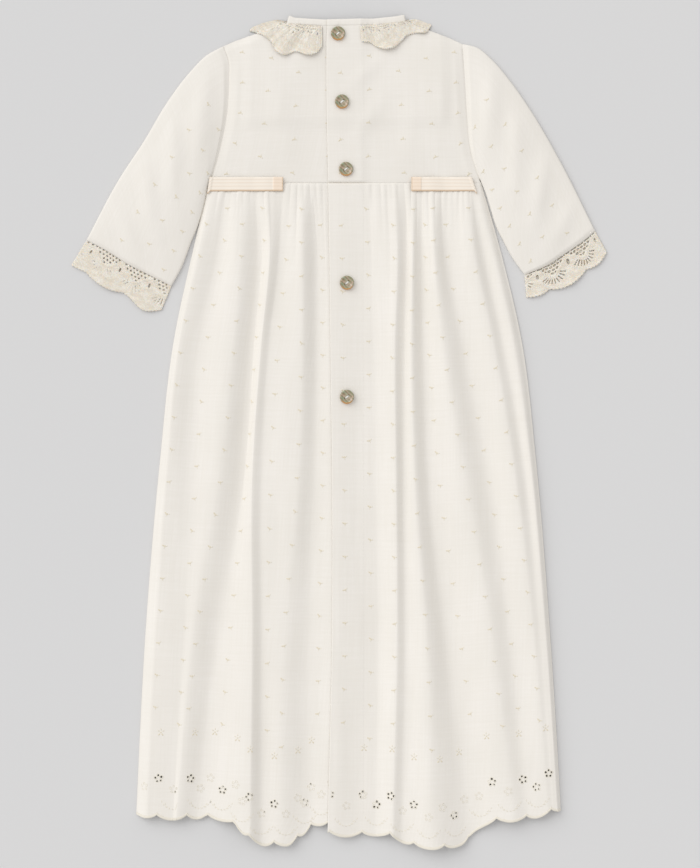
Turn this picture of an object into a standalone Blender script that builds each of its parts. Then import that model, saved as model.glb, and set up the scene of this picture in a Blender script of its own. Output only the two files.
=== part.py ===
# Christening gown in cotton batiste, laid flat with its back side up.
# Lengths in the tables are millimetres: +X to the wearer's right, +Y to the neck, +Z up from the floor.
# A panel is a flat grid one unit thick. Its place() function sends every corner to the garment.

from collections import namedtuple
from math import pi

import bpy
import bmesh
import numpy as np

MM = 0.001

# Walls and gaps
CLOTH = 1.2
LACE = 1.0
RIBBON = 1.0
SEAM = 0.3
MOST_STRETCH = 1.7       # the wall's upright thickness grows on slopes, up to this share
TOP_SAMPLES = 140        # samples each way that find a panel's upper face

# Bodice and neck
WAIST_Y = 222.8
NECK_X, NECK_WIDE, NECK_DEEP = 6.0, 108.0, 41.0
FRONT_NECK_Y = 366.5     # height of the neck points
NECK_TURNS = 14          # straight steps round the front neckline
ON_FLOOR = 0.0
BINDING_WIDE = 6.2

# Gathers along the waist seam
GATHER = 7.7             # spacing
GATHER_HIGH = 2.6
GATHER_REACH = 48.0      # how far down they fade
GATHER_SWELL = 14.0      # how far down they are fully swollen
GATHER_AT_SEAM = 0.35    # share of their height at the seam
STAND_X = 4.0            # middle of the button stand, which isn't gathered
STAND_HALF = (15.0, 22.0)

# Collar frill and cuffs
COLLAR_RISE = 1.5        # the front bodice lies on its own lace frill here
COLLAR_RISE_Y = (268, 284)
COLLAR_RISE_X = (97, 84)
LACE_HOLE_EVERY = 2      # one net hole in so many grid columns
FRILL_AIR = 0.35         # air under the frill's flat places

# Buttons, 20 line
BUTTON_WIDE = 12.8
BUTTON_THICK = 2.2
BUTTON_HOLE = 1.9
BUTTON_HOLES_APART = 3.6
BUTTONS = ((-1.1, 357.0), (2.5, 295.7), (6.1, 235.3), (7.0, 132.8), (7.0, 30.2))

# One fold line of a panel runs from the waist to its end.
# columns: grid columns up to the next line. x and lift: at each station. crest: how much of the straight
# slope it keeps. end: y of its last point, where no hem gives it.
Fold = namedtuple("Fold", "name columns x lift crest end", defaults=(0, None))

SKIRT_AT = (0.0, 0.10, 0.25, 0.45, 0.70, 1.0)
SKIRT_ROWS = (0.0, 0.012, 0.03, 0.06, 0.11, 0.19, 0.31, 0.46, 0.63, 0.81, 1.0)
SKIRT_LEFT = (
    Fold("side", 3, (-117.6, -130.8, -149, -162, -174, -183), (1.5, 1.5, 1.5, 1.5, 1.5, 1.5)),
    Fold("roll", 6, (-113.6, -125, -143, -154, -164, -172), (1.8, 5.0, 6.0, 6.5, 7.0, 7.0)),
    Fold("valley", 5, (-101, -107, -124, -133, -140, -150), (1.8, 2.5, 3.0, 4.5, 6.5, 6.0)),
    Fold("ridge", 7, (-89, -90, -96, -108, -130, -146), (1.8, 8.0, 9.0, 9.0, 8.0, 7.5)),
    Fold("valley", 10, (-74, -70, -77, -85, -107, -127), (1.8, 2.2, 2.2, 2.5, 2.5, 2.5)),
    Fold("ridge", 7, (-64, -62, -70, -78, -78, -80), (1.8, 8.0, 8.5, 8.5, 10.5, 12.0), 0.5),
    Fold("valley", 6, (-46, -51, -62, -69, -69, -69), (1.8, 3.0, 5.0, 5.0, 5.5, 5.5)),
    Fold("ridge", 6, (-34, -34, -34, -38, -50, -53), (1.8, 7.5, 8.0, 7.5, 7.0, 7.0)),
    Fold("valley", 5, (-26, -21, -20, -21, -27, -28), (1.8, 2.2, 2.2, 2.5, 2.5, 2.5)),
    Fold("placket", 6, (-10, -9, -8, -6.5, -6.5, -10.5), (1.8, 3.4, 4.2, 4.7, 5.2, 5.2), 0.6),
    Fold("underlap", 0, (18, 21, 22, 23, 24, 20.5), (1.6, 1.6, 1.6, 1.6, 1.7, 1.7), 0.6),
)
SKIRT_RIGHT = (
    Fold("placket", 6, (-10, -9, -8, -6.5, -6.5, -10.5), (3.6, 5.2, 6.0, 6.5, 7.0, 7.0), 0.6),
    Fold("valley", 5, (18, 21, 22, 23, 24, 20.5), (3.4, 3.4, 3.4, 3.4, 3.5, 3.5), 0.6),
    Fold("valley", 9, (30, 32, 33, 33, 35, 32), (1.8, 3.0, 3.0, 3.0, 3.0, 3.2), 0.4),
    Fold("ridge", 5, (48, 52, 50, 51, 52, 48), (1.8, 8.5, 10.0, 10.5, 10.0, 9.0), 0.5),
    Fold("valley", 5, (57, 60, 58, 58, 60, 57), (1.8, 4.0, 5.0, 5.5, 6.0, 6.0)),
    Fold("ridge", 8, (67, 66, 65, 68, 78, 84), (1.8, 8.0, 9.0, 9.5, 11.0, 12.0)),
    Fold("valley", 8, (74.5, 74.5, 76, 81, 98, 120), (1.8, 2.2, 2.2, 2.2, 2.2, 2.5)),
    Fold("ridge", 6, (84, 85, 93, 111, 135, 156), (1.8, 8.5, 9.5, 9.5, 9.5, 9.0)),
    Fold("valley", 9, (96, 97, 112, 133, 153, 170), (1.8, 2.3, 2.5, 2.8, 4.5, 6.5)),
    Fold("ridge", 4, (116, 120, 137, 156, 173, 187), (1.8, 7.5, 8.5, 9.0, 8.0, 7.5)),
    Fold("valley", 3, (120.5, 129, 147, 166, 180, 192.5), (1.8, 3.0, 4.0, 5.0, 6.5, 6.5)),
    Fold("roll", 3, (124, 137, 156, 172, 184.5, 196), (1.7, 5.0, 6.0, 6.5, 6.5, 6.0)),
    Fold("side", 0, (127.8, 144, 164, 177.5, 189, 199.6), (1.5, 1.5, 1.5, 1.5, 1.5, 1.5)),
)
SKIRT_FRONT_ROWS = (0.0, 0.12, 0.28, 0.5, 0.92, 1.0)

# Hems: x and y of the smooth line through the notches, and each notch's x
SCALLOP_DEEP = 4.8
SCALLOP_ROWS = (0.92, 1.0)   # shares down over which the scallops grow
HEM_LEFT = {
    "line": ((-183, -342), (-165, -345), (-137, -345.5), (-118, -345.3), (-104, -347), (-94, -351),
             (-81, -362), (-68, -369), (-53, -369), (-43, -368), (-34, -361), (-25.4, -354), (-10.5, -350), (20.5, -352)),
    "notches": (-214, -189, -164, -137, -119, -94.5, -81, -58.7, -37.5, -25.4, -8, 14, 36),
}
HEM_RIGHT = {
    "line": ((-10.5, -360), (5, -361), (20.5, -361), (37, -360.5), (45.5, -361.5), (67, -370), (80, -371),
             (94.6, -372), (105, -370), (116, -366), (122, -358), (141, -348.5), (155, -347), (168.4, -346),
             (190.6, -340), (199.6, -338)),
    "notches": (-32, -9, 20.5, 45.5, 67, 94.6, 116.5, 141.3, 168.4, 190.6, 214),
}
HEM_FRONT = {
    "line": ((-183, -342), (9, -344), (199.6, -333)),
    "notches": tuple(range(-211, 230, 22)),
}
SKIRT_FRONT = (
    Fold("side", 27, SKIRT_LEFT[0].x, (ON_FLOOR,) * 6),
    Fold("middle", 27, (6, 6, 7, 8, 9, 9), (ON_FLOOR,) * 6, 1),
    Fold("side", 0, SKIRT_RIGHT[-1].x, (ON_FLOOR,) * 6),
)

BODICE_AT = (0.0, 0.25, 0.5, 0.75, 0.9, 1.0)
BODICE_ROWS = (0.0, 0.12, 0.25, 0.38, 0.52, 0.66, 0.8, 0.91, 1.0)
BODICE_LEFT = (
    Fold("armhole", 2, (-116.5, -107.9, -101.5, -99.4, -99.9, -104.4), (1.5,) * 6, 0, 346.2),
    Fold("roll", 4, (-108, -98, -92, -90.5, -91, -94), (1.8, 3.0, 3.2, 3.2, 2.6, 1.7), 0, 351),
    Fold("chest", 4, (-64, -60, -57, -52, -50, -48), (1.8, 3.4, 3.6, 3.2, 2.2, 1.9), 0, 366.3),
    Fold("placket", 5, (-10, -10.8, -11.4, -11.6, -11.5, -10.8), (1.8, 2.1, 2.2, 2.3, 2.3, 2.3), 0.6, 364),
    Fold("underlap", 0, (18, 18, 18.5, 19, 19, 19), (1.6, 1.8, 1.9, 2.0, 2.0, 2.0), 0.6, 364.8),
)
BODICE_RIGHT = (
    Fold("placket", 5, (-10, -10.8, -11.4, -11.6, -11.5, -10.8), (3.6, 3.9, 4.0, 4.1, 4.1, 4.1), 0.6, 364),
    Fold("stand", 2, (18, 18, 18.5, 19, 19, 19), (3.4, 3.6, 3.7, 3.8, 3.8, 3.8), 0.6, 364.8),
    Fold("beside", 3, (30, 30, 31, 31, 31, 31), (1.8, 2.8, 3.0, 2.8, 2.2, 2.0), 0, 365),
    Fold("chest", 4, (72, 70, 67, 63, 61, 60), (1.8, 3.4, 3.6, 3.2, 2.2, 1.9), 0, 368),
    Fold("roll", 2, (119, 109, 106, 104, 103, 101), (1.8, 3.0, 3.2, 3.2, 2.6, 1.7), 0, 353),
    Fold("armhole", 0, (127.2, 118.4, 115.3, 113.2, 111.6, 110.6), (1.5,) * 6, 0, 348.4),
)
BODICE_FRONT_ROWS = (0.0, 0.25, 0.5, 0.75, 0.88, 0.95, 1.0)

# Soft creases: a ridge from one point to another
Crease = namedtuple("Crease", "x0 y0 x1 y1 wide high")
BODICE_CREASES = (
    Crease(42, 338, 10, 310, 7, 0.8),
    Crease(42, 302, 14, 262, 8, 0.9),
    Crease(-62, 330, -44, 240, 12, 0.8),
    Crease(98, 330, 84, 244, 12, 0.8),
)
SLEEVE_LEFT_CREASES = (
    Crease(-121, 322, -128, 240, 9, 2.0),
    Crease(-150, 282, -150, 205, 8, 1.8),
    Crease(-178, 245, -166, 176, 8, 1.6),
    Crease(-205, 205, -180, 158, 7, 1.2),
)
SLEEVE_RIGHT_CREASES = (
    Crease(138, 332, 134, 250, 9, 2.2),
    Crease(160, 288, 158, 210, 8, 1.8),
    Crease(187, 252, 175, 180, 8, 1.6),
    Crease(212, 208, 192, 166, 7, 1.2),
)

# Sleeves and cuffs: outer and inner edges from the armhole down, and the lace edge past the cuff seam
SLEEVE_LEFT = {
    "armhole": BODICE_LEFT[0], "side": -1, "creases": SLEEVE_LEFT_CREASES,
    "outer": ((-119.9, 337.9), (-133.4, 324.4), (-154.1, 297.4), (-175.7, 261.4), (-199.1, 225.5)),
    "inner": ((-121.2, 214.7), (-124.8, 200.2), (-128.4, 185.0), (-132.8, 171.5), (-143.3, 144.5)),
    "cuff": ((-227.9, 171.5), (-208.0, 160.7), (-193.7, 151.5), (-172.0, 140.3), (-151.4, 130.1)),
    "lace": ((-241.9, 148.5), (-226.0, 137.5), (-207.0, 126.0), (-192.0, 119.5), (-175.0, 107.5),
             (-160.8, 107.5)),
    "notches": (-0.3, 0.15, 0.57, 1.1), "notch_deep": 2.8,
}
SLEEVE_RIGHT = {
    "armhole": BODICE_RIGHT[-1], "side": 1, "creases": SLEEVE_RIGHT_CREASES,
    "outer": ((124.0, 345.2), (138.4, 333.4), (153.7, 315.4), (172.6, 288.4), (198.7, 243.5)),
    "inner": ((132.0, 213.8), (136.2, 200.2), (141.6, 183.2), (147.4, 171.5), (157.3, 153.5)),
    "cuff": ((230.8, 179.6), (221.2, 171.5), (200.5, 157.1), (189.7, 149.9), (167.2, 140.2)),
    "lace": ((241.6, 160.0), (233.0, 148.0), (216.0, 135.5), (203.0, 128.0), (187.0, 122.0),
             (169.0, 119.3)),
    "notches": (-0.15, 0.294, 0.737, 1.12), "notch_deep": 4.4,
}
SLEEVE_ROWS = 8
SLEEVE_AROUND = 22
SLEEVE_HIGH = 5.5
SLEEVE_EDGE = 1.5        # radius of the fold along its two edges
CUFF_SWELL = 1.6
CUFF_LOBE_HIGH = 0.9

# Collar frill: seam along the neck, free edge and outer side, from the button stand to the shoulder.
# ruffles: share along it, height, half width as a share. notches: shares along its edge.
COLLAR_LEFT = {
    "seam": ((-15.5, 363.4), (-32.0, 365.0), (-44.0, 366.6), (-48.5, 370.2)),
    "free": ((-15.5, 344.0), (-20.0, 339.2), (-28.6, 337.4), (-38.0, 339.8), (-50.0, 337.4), (-58.5, 342.0),
             (-62.5, 349.0), (-69.5, 356.0), (-76.0, 358.5), (-82.2, 359.4)),
    "side": ((-48.5, 370.2), (-58.0, 370.2), (-68.0, 367.6), (-75.5, 365.0), (-80.8, 361.8), (-82.2, 359.4)),
    "ruffles": ((0.17, 3.0, 0.13), (0.52, 2.6, 0.10), (0.66, 0.9, 0.05), (0.80, 1.0, 0.06)),
    "notches": (0.0, 0.36, 0.68, 1.0), "notch_deep": 1.2,
}
COLLAR_RIGHT = {
    "seam": ((18.7, 364.2), (38.0, 365.6), (55.0, 367.8), (61.0, 370.6)),
    "free": ((19.8, 348.6), (26.0, 348.8), (33.0, 344.6), (41.0, 342.6), (49.0, 344.0), (57.0, 350.0),
             (63.0, 355.2), (70.0, 357.4), (78.5, 358.0), (84.2, 363.9)),
    "side": ((61.0, 370.6), (66.0, 371.2), (72.0, 370.0), (78.5, 367.6), (83.6, 365.6), (84.2, 363.9)),
    "ruffles": ((0.05, 1.0, 0.06), (0.36, 3.0, 0.16), (0.62, 1.4, 0.07), (0.84, 1.6, 0.08)),
    "notches": (0.0, 0.14, 0.62, 1.0), "notch_deep": 1.2,
}
FRONT_FRILL = {"wide": 30.0, "side_wide": 16.5, "drop": 7.0, "lobes": 9, "lobe_deep": 3.0}

# Ribbons: left end, right end and the slant of the end at the side seam
RIBBON_Y = (215.4, 228.0)
RIBBONS = {"ribbon_left": (-50.6, -117.8, -2.2), "ribbon_right": (65.0, 121.6, 5.0)}
RIBBON_TUCK = 7.0


def through(stations, values, at):
    """Smooth curve through values at the stations: cubic pieces with shared slopes."""
    stations = np.asarray(stations, float)
    values = np.asarray(values, float)
    slope = np.gradient(values, stations, axis=0)
    k = np.clip(np.searchsorted(stations, at, side="right") - 1, 0, len(stations) - 2)
    step = stations[k + 1] - stations[k]
    t = (at - stations[k]) / step
    if values.ndim == 2:
        step, t = step[:, None], t[:, None]
    return ((1 + 2 * t) * (1 - t) ** 2 * values[k] + t * (1 - t) ** 2 * step * slope[k]
            + t * t * (3 - 2 * t) * values[k + 1] + t * t * (t - 1) * step * slope[k + 1])


def along(points, share):
    """Point at a share of the chord length of a smooth outline."""
    points = np.array(points, float)
    run = np.concatenate([[0], np.cumsum(np.linalg.norm(np.diff(points, axis=0), axis=1))])
    return through(run / run[-1], points, share)


def ramp(value, start, end):
    """Smooth step from 0 at start to 1 at end."""
    t = np.clip((value - start) / (end - start), 0, 1)
    return t * t * (3 - 2 * t)


def coons(bottom, top, left, right, u, v):
    """Patch blended from four edges, u along bottom and top, v along left and right."""
    b, t = along(bottom, u), along(top, u)
    l, r = along(left, v), along(right, v)
    u, v = u[:, None], v[:, None]
    corners = ((1 - u) * (1 - v) * np.array(bottom[0]) + u * (1 - v) * np.array(bottom[-1])
               + (1 - u) * v * np.array(top[0]) + u * v * np.array(top[-1]))
    return (1 - v) * b + v * t + (1 - u) * l + u * r - corners


def crease_height(creases, x, y):
    """Sum of soft ridges, each highest midway along its own line."""
    total = np.zeros_like(x)
    for c in creases:
        along_x, along_y = c.x1 - c.x0, c.y1 - c.y0
        t = np.clip(((x - c.x0) * along_x + (y - c.y0) * along_y) / (along_x ** 2 + along_y ** 2), 0, 1)
        away = np.hypot(x - c.x0 - t * along_x, y - c.y0 - t * along_y)
        total += c.high * np.exp(-(away / c.wide) ** 2) * np.sqrt(np.sin(pi * np.clip(t, 0.02, 0.98)))
    return total


def collar_rise(x, y):
    """The front collar frill under the front bodice lifts everything above it."""
    return COLLAR_RISE * ramp(y, *COLLAR_RISE_Y) * ramp(np.abs(x - NECK_X), *COLLAR_RISE_X)


def lobe_phase(share, notches):
    """Whole numbers at the notches."""
    return np.interp(share, notches, np.arange(len(notches)))


def lobes(phase, deep):
    """Row of round scallops: depth cut away, most at each whole number of the phase."""
    return deep * (1 - np.abs(np.sin(pi * phase)) ** 0.8)


def collection_for(name):
    made = bpy.data.collections.new(name)
    bpy.context.scene.collection.children.link(made)
    return made


def material(name, colour, roughness):
    made = bpy.data.materials.new(name)
    made.use_nodes = True
    shader = made.node_tree.nodes["Principled BSDF"]
    shader.inputs["Base Color"].default_value = (*colour, 1.0)
    shader.inputs["Roughness"].default_value = roughness
    shader.inputs["Metallic"].default_value = 0.0
    made.diffuse_color = (*colour, 1.0)
    return made


def finish_node(name, bm, finish, collection):
    bmesh.ops.recalc_face_normals(bm, faces=bm.faces)
    if bm.calc_volume(signed=True) < 0:
        bmesh.ops.reverse_faces(bm, faces=bm.faces)
    mesh = bpy.data.meshes.new(name)
    bm.to_mesh(mesh)
    bm.free()
    mesh.shade_smooth()
    mesh.set_sharp_from_angle(angle=0.9)
    mesh.materials.append(finish)
    node = bpy.data.objects.new(name, mesh)
    collection.objects.link(node)
    return node


def slab(name, columns, rows, place, finish, collection, holes=()):
    """Grid of unit depth whose corners place(u, v, w) sends to the garment; w is 0 below and 1 above."""
    bm = bmesh.new()
    bmesh.ops.create_grid(bm, x_segments=columns, y_segments=rows, size=0.5)
    cells = [(int((f.calc_center_median().x + 0.5) * columns), int((f.calc_center_median().y + 0.5) * rows))
             for f in bm.faces]
    cut = [f for f, cell in zip(bm.faces, cells) if cell in holes]
    bmesh.ops.delete(bm, geom=cut, context="FACES")
    bmesh.ops.triangulate(bm, faces=bm.faces, quad_method="FIXED")
    raised = bmesh.ops.extrude_face_region(bm, geom=bm.faces[:], use_keep_orig=True)
    upper = [v for v in raised["geom"] if isinstance(v, bmesh.types.BMVert)]
    bmesh.ops.translate(bm, vec=(0, 0, 1), verts=upper)
    corner = np.array([v.co for v in bm.verts])
    placed = place(corner[:, 0] + 0.5, corner[:, 1] + 0.5, corner[:, 2])
    for vert, point in zip(bm.verts, placed):
        vert.co = point * MM
    return finish_node(name, bm, finish, collection)


def tube(name, around, rows, place, finish, collection):
    """Open tube of unit wall whose corners place(angle, v, w) sends to the garment; w is 0 inside."""
    bm = bmesh.new()
    bmesh.ops.create_grid(bm, x_segments=around, y_segments=rows, size=0.5)
    for vert in bm.verts:
        angle = 2 * pi * (vert.co.x + 0.5)
        vert.co = (np.cos(angle), np.sin(angle), vert.co.y + 0.5)
    bmesh.ops.remove_doubles(bm, verts=bm.verts, dist=0.0001)
    bmesh.ops.triangulate(bm, faces=bm.faces, quad_method="FIXED")
    raised = bmesh.ops.extrude_face_region(bm, geom=bm.faces[:], use_keep_orig=True)
    for vert in raised["geom"]:
        if isinstance(vert, bmesh.types.BMVert):
            vert.co.xy = vert.co.xy * 2
    corner = np.array([v.co for v in bm.verts])
    wall = np.round(np.hypot(corner[:, 0], corner[:, 1])) - 1
    placed = place(np.arctan2(corner[:, 1], corner[:, 0]), corner[:, 2], wall)
    for vert, point in zip(bm.verts, placed):
        vert.co = point * MM
    return finish_node(name, bm, finish, collection)


class Panel:
    """Cloth sheet ruled by fold lines, smooth along each line and rounded from one to the next."""

    def __init__(self, folds, stations, rows, start, hem=None, gathered_from=None, creases=()):
        self.folds = folds
        self.stations = stations
        self.rows = rows
        self.start = start
        self.hem = hem
        self.gathered_from = gathered_from
        self.creases = creases
        self.columns = sum(fold.columns for fold in folds)
        self.first = np.cumsum([0] + [fold.columns for fold in folds[:-1]])
        self.long = abs((hem["line"][0][1] if hem else folds[0].end) - start)

    def between(self, u):
        """Which two fold lines a share across lies between, and how far from the first."""
        column = np.clip(u, 0, 1) * self.columns
        k = np.clip(np.searchsorted(self.first, column, side="right") - 1, 0, len(self.folds) - 2)
        return k, (column - self.first[k]) / (self.first[k + 1] - self.first[k])

    def rule(self, u, v, field, rounded=False):
        lines = through(self.stations, np.array([getattr(f, field) for f in self.folds]).T, v)
        k, t = self.between(u)
        row = np.arange(len(u))
        if rounded:
            crest = np.array([f.crest for f in self.folds], float)
            a, b = crest[k], crest[k + 1]
            t = (a + b - 2) * t ** 3 + (3 - 2 * a - b) * t ** 2 + a * t
        return lines[row, k] * (1 - t) + lines[row, k + 1] * t

    def x(self, u, v):
        return self.rule(u, v, "x")

    def y(self, u, v):
        if self.hem:
            hem_x = self.x(u, np.ones_like(u))
            line_x, line_y = np.array(self.hem["line"], float).T
            end = through(line_x, line_y, hem_x)
            lobe = np.abs(np.sin(pi * lobe_phase(hem_x, self.hem["notches"]))) ** 0.7
            end = end - SCALLOP_DEEP * ramp(v, *SCALLOP_ROWS) * lobe
        else:
            k, t = self.between(u)
            ends = np.array([f.end for f in self.folds], float)
            end = ends[k] * (1 - t) + ends[k + 1] * t
        return self.start + v * (end - self.start)

    def low(self, u, v):
        """Height of the underside."""
        x, y = self.x(u, v), self.y(u, v)
        lift = self.rule(u, v, "lift", rounded=True) + crease_height(self.creases, x, y)
        if self.gathered_from is not None:
            lift = lift + self.gathers(u, v)
        return lift + collar_rise(x, y)

    def gathers(self, u, v):
        """Round ridges from the waist seam, none at the side seam or in the button stand."""
        down = v * self.long
        waist = self.x(u, np.zeros_like(u))
        phase = (waist - self.folds[0].x[0]) / GATHER
        free = ramp(np.abs(waist - self.gathered_from), 1, 6) * ramp(np.abs(waist - STAND_X), *STAND_HALF)
        fade = GATHER_AT_SEAM + (1 - GATHER_AT_SEAM) * ramp(down, 0, GATHER_SWELL)
        return GATHER_HIGH * fade * np.exp(-down / GATHER_REACH) * free * 0.5 * (1 - np.cos(2 * pi * phase))

    def wall(self, u, v):
        """Upright thickness that keeps the cloth's own thickness on a slope."""
        near = 0.4 / self.columns
        a, b = np.clip(u - near, 0, 1), np.clip(u + near, 0, 1)
        slope = (self.low(b, v) - self.low(a, v)) / (self.x(b, v) - self.x(a, v))
        return CLOTH * np.clip(np.sqrt(1 + slope ** 2), 1, MOST_STRETCH)

    def row(self, v):
        return np.interp(v, np.linspace(0, 1, len(self.rows)), self.rows)

    def place(self, u, v, w):
        v = self.row(v)
        return np.stack([self.x(u, v), self.y(u, v), self.low(u, v) + w * self.wall(u, v)], axis=1)

    def top_at(self, x, y):
        """Height of the upper face under the given points, from a fine sampling."""
        u, v = [g.ravel() for g in np.meshgrid(*[np.linspace(0, 1, TOP_SAMPLES)] * 2)]
        points = self.place(u, v, np.ones_like(u))
        near = [np.argmin((points[:, 0] - px) ** 2 + (points[:, 1] - py) ** 2) for px, py in zip(x, y)]
        return points[near, 2]

    def build(self, name, finish, collection):
        return slab(name, self.columns, len(self.rows) - 1, self.place, finish, collection)


def front_bodice():
    """Front with a round neckline, lower than the back's."""
    turns = np.linspace(0, pi, NECK_TURNS + 1)
    neck = [(NECK_X - NECK_WIDE / 2 * np.cos(a), FRONT_NECK_Y - NECK_DEEP * np.sin(a)) for a in turns]
    lines = [Fold("armhole", 4, BODICE_LEFT[0].x, (ON_FLOOR,) * 6, 0, BODICE_LEFT[0].end)]
    for k, (x, y) in enumerate(neck):
        share = k / NECK_TURNS
        waist_x = BODICE_LEFT[2].x[0] * (1 - share) + BODICE_RIGHT[3].x[0] * share
        path = tuple(waist_x + (x - waist_x) * s for s in BODICE_AT)
        lines.append(Fold("neck", 1 if k < NECK_TURNS else 4, path, (ON_FLOOR,) * 6, 1, y))
    lines.append(Fold("armhole", 0, BODICE_RIGHT[-1].x, (ON_FLOOR,) * 6, 0, BODICE_RIGHT[-1].end))
    return Panel(tuple(lines), BODICE_AT, BODICE_FRONT_ROWS, WAIST_Y + SEAM / 2)


def sleeve(name, spec, finish, collection):
    """Flattened sleeve: a patch between its four edges carries a section flat below and domed above."""
    armhole = armhole_points(spec)
    cuff = spec["cuff"]
    outer = (armhole[0],) + spec["outer"] + (cuff[0],)
    inner = (armhole[-1],) + spec["inner"] + (cuff[-1],)

    def place(angle, v, wall):
        across = np.cos(angle)
        half = np.linalg.norm(along(outer, v) - along(inner, v), axis=1) / 2
        inset = 1 - (1 - wall) * CLOTH / half
        plan = coons(armhole, cuff, outer, inner, (1 - across * inset) / 2, v)
        from_edge = (1 - np.abs(across)) * half
        curl = SLEEVE_EDGE * (1 - np.sqrt(1 - np.clip(1 - from_edge / SLEEVE_EDGE, 0, 1) ** 2))
        dome = sleeve_dome(spec, plan, across, v)
        upper = 2 * SLEEVE_EDGE - curl + dome - CLOTH * (1 - wall)
        lower = curl + CLOTH * (1 - wall)
        side = np.round(np.sin(angle), 4)
        height = np.where(side > 0, upper, np.where(side < 0, lower, SLEEVE_EDGE))
        return np.column_stack([plan, height])

    return tube(name, SLEEVE_AROUND, SLEEVE_ROWS, place, finish, collection)


def armhole_points(spec):
    """The bodice's armhole line from the shoulder down, moved out by the seam's gap."""
    line = spec["armhole"]
    share = np.array((1.0, 0.97, 0.9, 0.75, 0.5, 0.25, 0.03))
    x = through(BODICE_AT, line.x, share) + spec["side"] * 2 * SEAM
    return tuple(zip(x, WAIST_Y + share * (line.end - WAIST_Y)))


def sleeve_dome(spec, plan, across, v):
    """Air in the sleeve between its two layers, with the soft creases on top."""
    swell = SLEEVE_HIGH * np.sin(pi * np.clip(0.12 + 0.8 * v, 0, 1)) * (1 - across ** 2) ** 0.7
    crease = crease_height(spec["creases"], plan[:, 0], plan[:, 1]) * (1 - across ** 4)
    return (swell + crease) * ramp(v, -0.15, 0.15)


def cuff_lace(name, spec, upper, finish, collection):
    """One layer of the cuff's lace, with net holes along the seam and leaf holes below."""
    cuff, edge = spec["cuff"], spec["lace"]
    gap = np.array(edge[0]) - np.array(cuff[0])
    down = gap / np.linalg.norm(gap)
    seam = tuple(tuple(np.array(p) + down * SEAM) for p in cuff)
    side_a = (seam[0], edge[0])
    side_b = (seam[-1], edge[-1])

    def place(u, v, w):
        plan = coons(seam, edge, side_a, side_b, u, v)
        phase = lobe_phase(u, spec["notches"])
        plan = plan - (lobes(phase, spec["notch_deep"]) * v ** 4)[:, None] * down
        lift = np.zeros_like(u)
        if upper:
            swell = CUFF_SWELL * np.sin(pi * u) ** 0.6 * (1 - 0.4 * v)
            wave = CUFF_LOBE_HIGH * (1 - np.cos(2 * pi * phase)) * v
            lift = LACE + SEAM + (swell + wave) * np.sin(pi * np.clip(u, 0, 1)) ** 0.3
        return np.column_stack([plan, lift + LACE * w])

    columns, rows = 17, 5
    net = {(c, 1) for c in range(1, columns - 1, LACE_HOLE_EVERY)}
    leaves = {(c, 3) for c in range(2, columns - 1, 2 * LACE_HOLE_EVERY)}
    return slab(name, columns, rows, place, finish, collection, holes=net | leaves)


def collar_lace(name, spec, panel, finish, collection):
    """Gathered frill lying on the back bodice and rolling over the shoulder."""
    seam, free = spec["seam"], spec["free"]
    columns, rows = 25, 4

    def place(u, v, w):
        plan = coons(seam, free, (seam[0], free[0]), spec["side"], u, v)
        out = along(free, u) - along(seam, u)
        out = out / np.linalg.norm(out, axis=1)[:, None]
        cut = lobes(lobe_phase(u, spec["notches"]), spec["notch_deep"]) * v ** 4
        plan = plan - cut[:, None] * out
        carried = panel.top_at(plan[:, 0], plan[:, 1])
        ruffle = sum(high * np.exp(-((u - at) / wide) ** 2) for at, high, wide in spec["ruffles"])
        return np.column_stack([plan, carried + SEAM + FRILL_AIR + ruffle * (0.2 + 0.8 * v) + LACE * w])

    net = {(c, 1) for c in range(1, columns - 1, LACE_HOLE_EVERY)}
    return slab(name, columns, rows, place, finish, collection, holes=net)


def front_frill(finish, collection):
    """The hidden front of the frill: a plain flat band round the front neckline, on the floor."""
    def place(u, v, w):
        angle = pi * (0.02 + 0.96 * u)
        side = NECK_WIDE / 2 + FRONT_FRILL["side_wide"] * v
        deep = NECK_DEEP + (FRONT_FRILL["wide"] - FRONT_FRILL["drop"]) * v
        x = NECK_X - side * np.cos(angle)
        y = FRONT_NECK_Y - FRONT_FRILL["drop"] * v - deep * np.sin(angle)
        y = y + lobes(FRONT_FRILL["lobes"] * u, FRONT_FRILL["lobe_deep"]) * v ** 3
        return np.column_stack([x, y, LACE * w])

    return slab("collar_lace_front", 27, 2, place, finish, collection)


def front_binding(finish, collection):
    """Bias binding round the front neckline, inside the opening."""
    def place(u, v, w):
        angle = pi * u
        out = SEAM + v * BINDING_WIDE
        x = NECK_X - (NECK_WIDE / 2 - out) * np.cos(angle)
        y = FRONT_NECK_Y - (NECK_DEEP - out) * np.sin(angle)
        return np.column_stack([x, y, COLLAR_RISE + CLOTH * w])

    return slab("neck_binding_front", NECK_TURNS, 2, place, finish, collection)


def back_binding(name, panel, first, finish, collection):
    """Bias binding along the top of one back, made from the panel's own last row."""
    def place(u, v, w):
        share = first[0] + (first[1] - first[0]) * u
        top = np.ones_like(share)
        y = panel.y(share, top) + SEAM + v * BINDING_WIDE
        return np.column_stack([panel.x(share, top), y, panel.low(share, top) + CLOTH * w])

    return slab(name, 14, 2, place, finish, collection)


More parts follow.
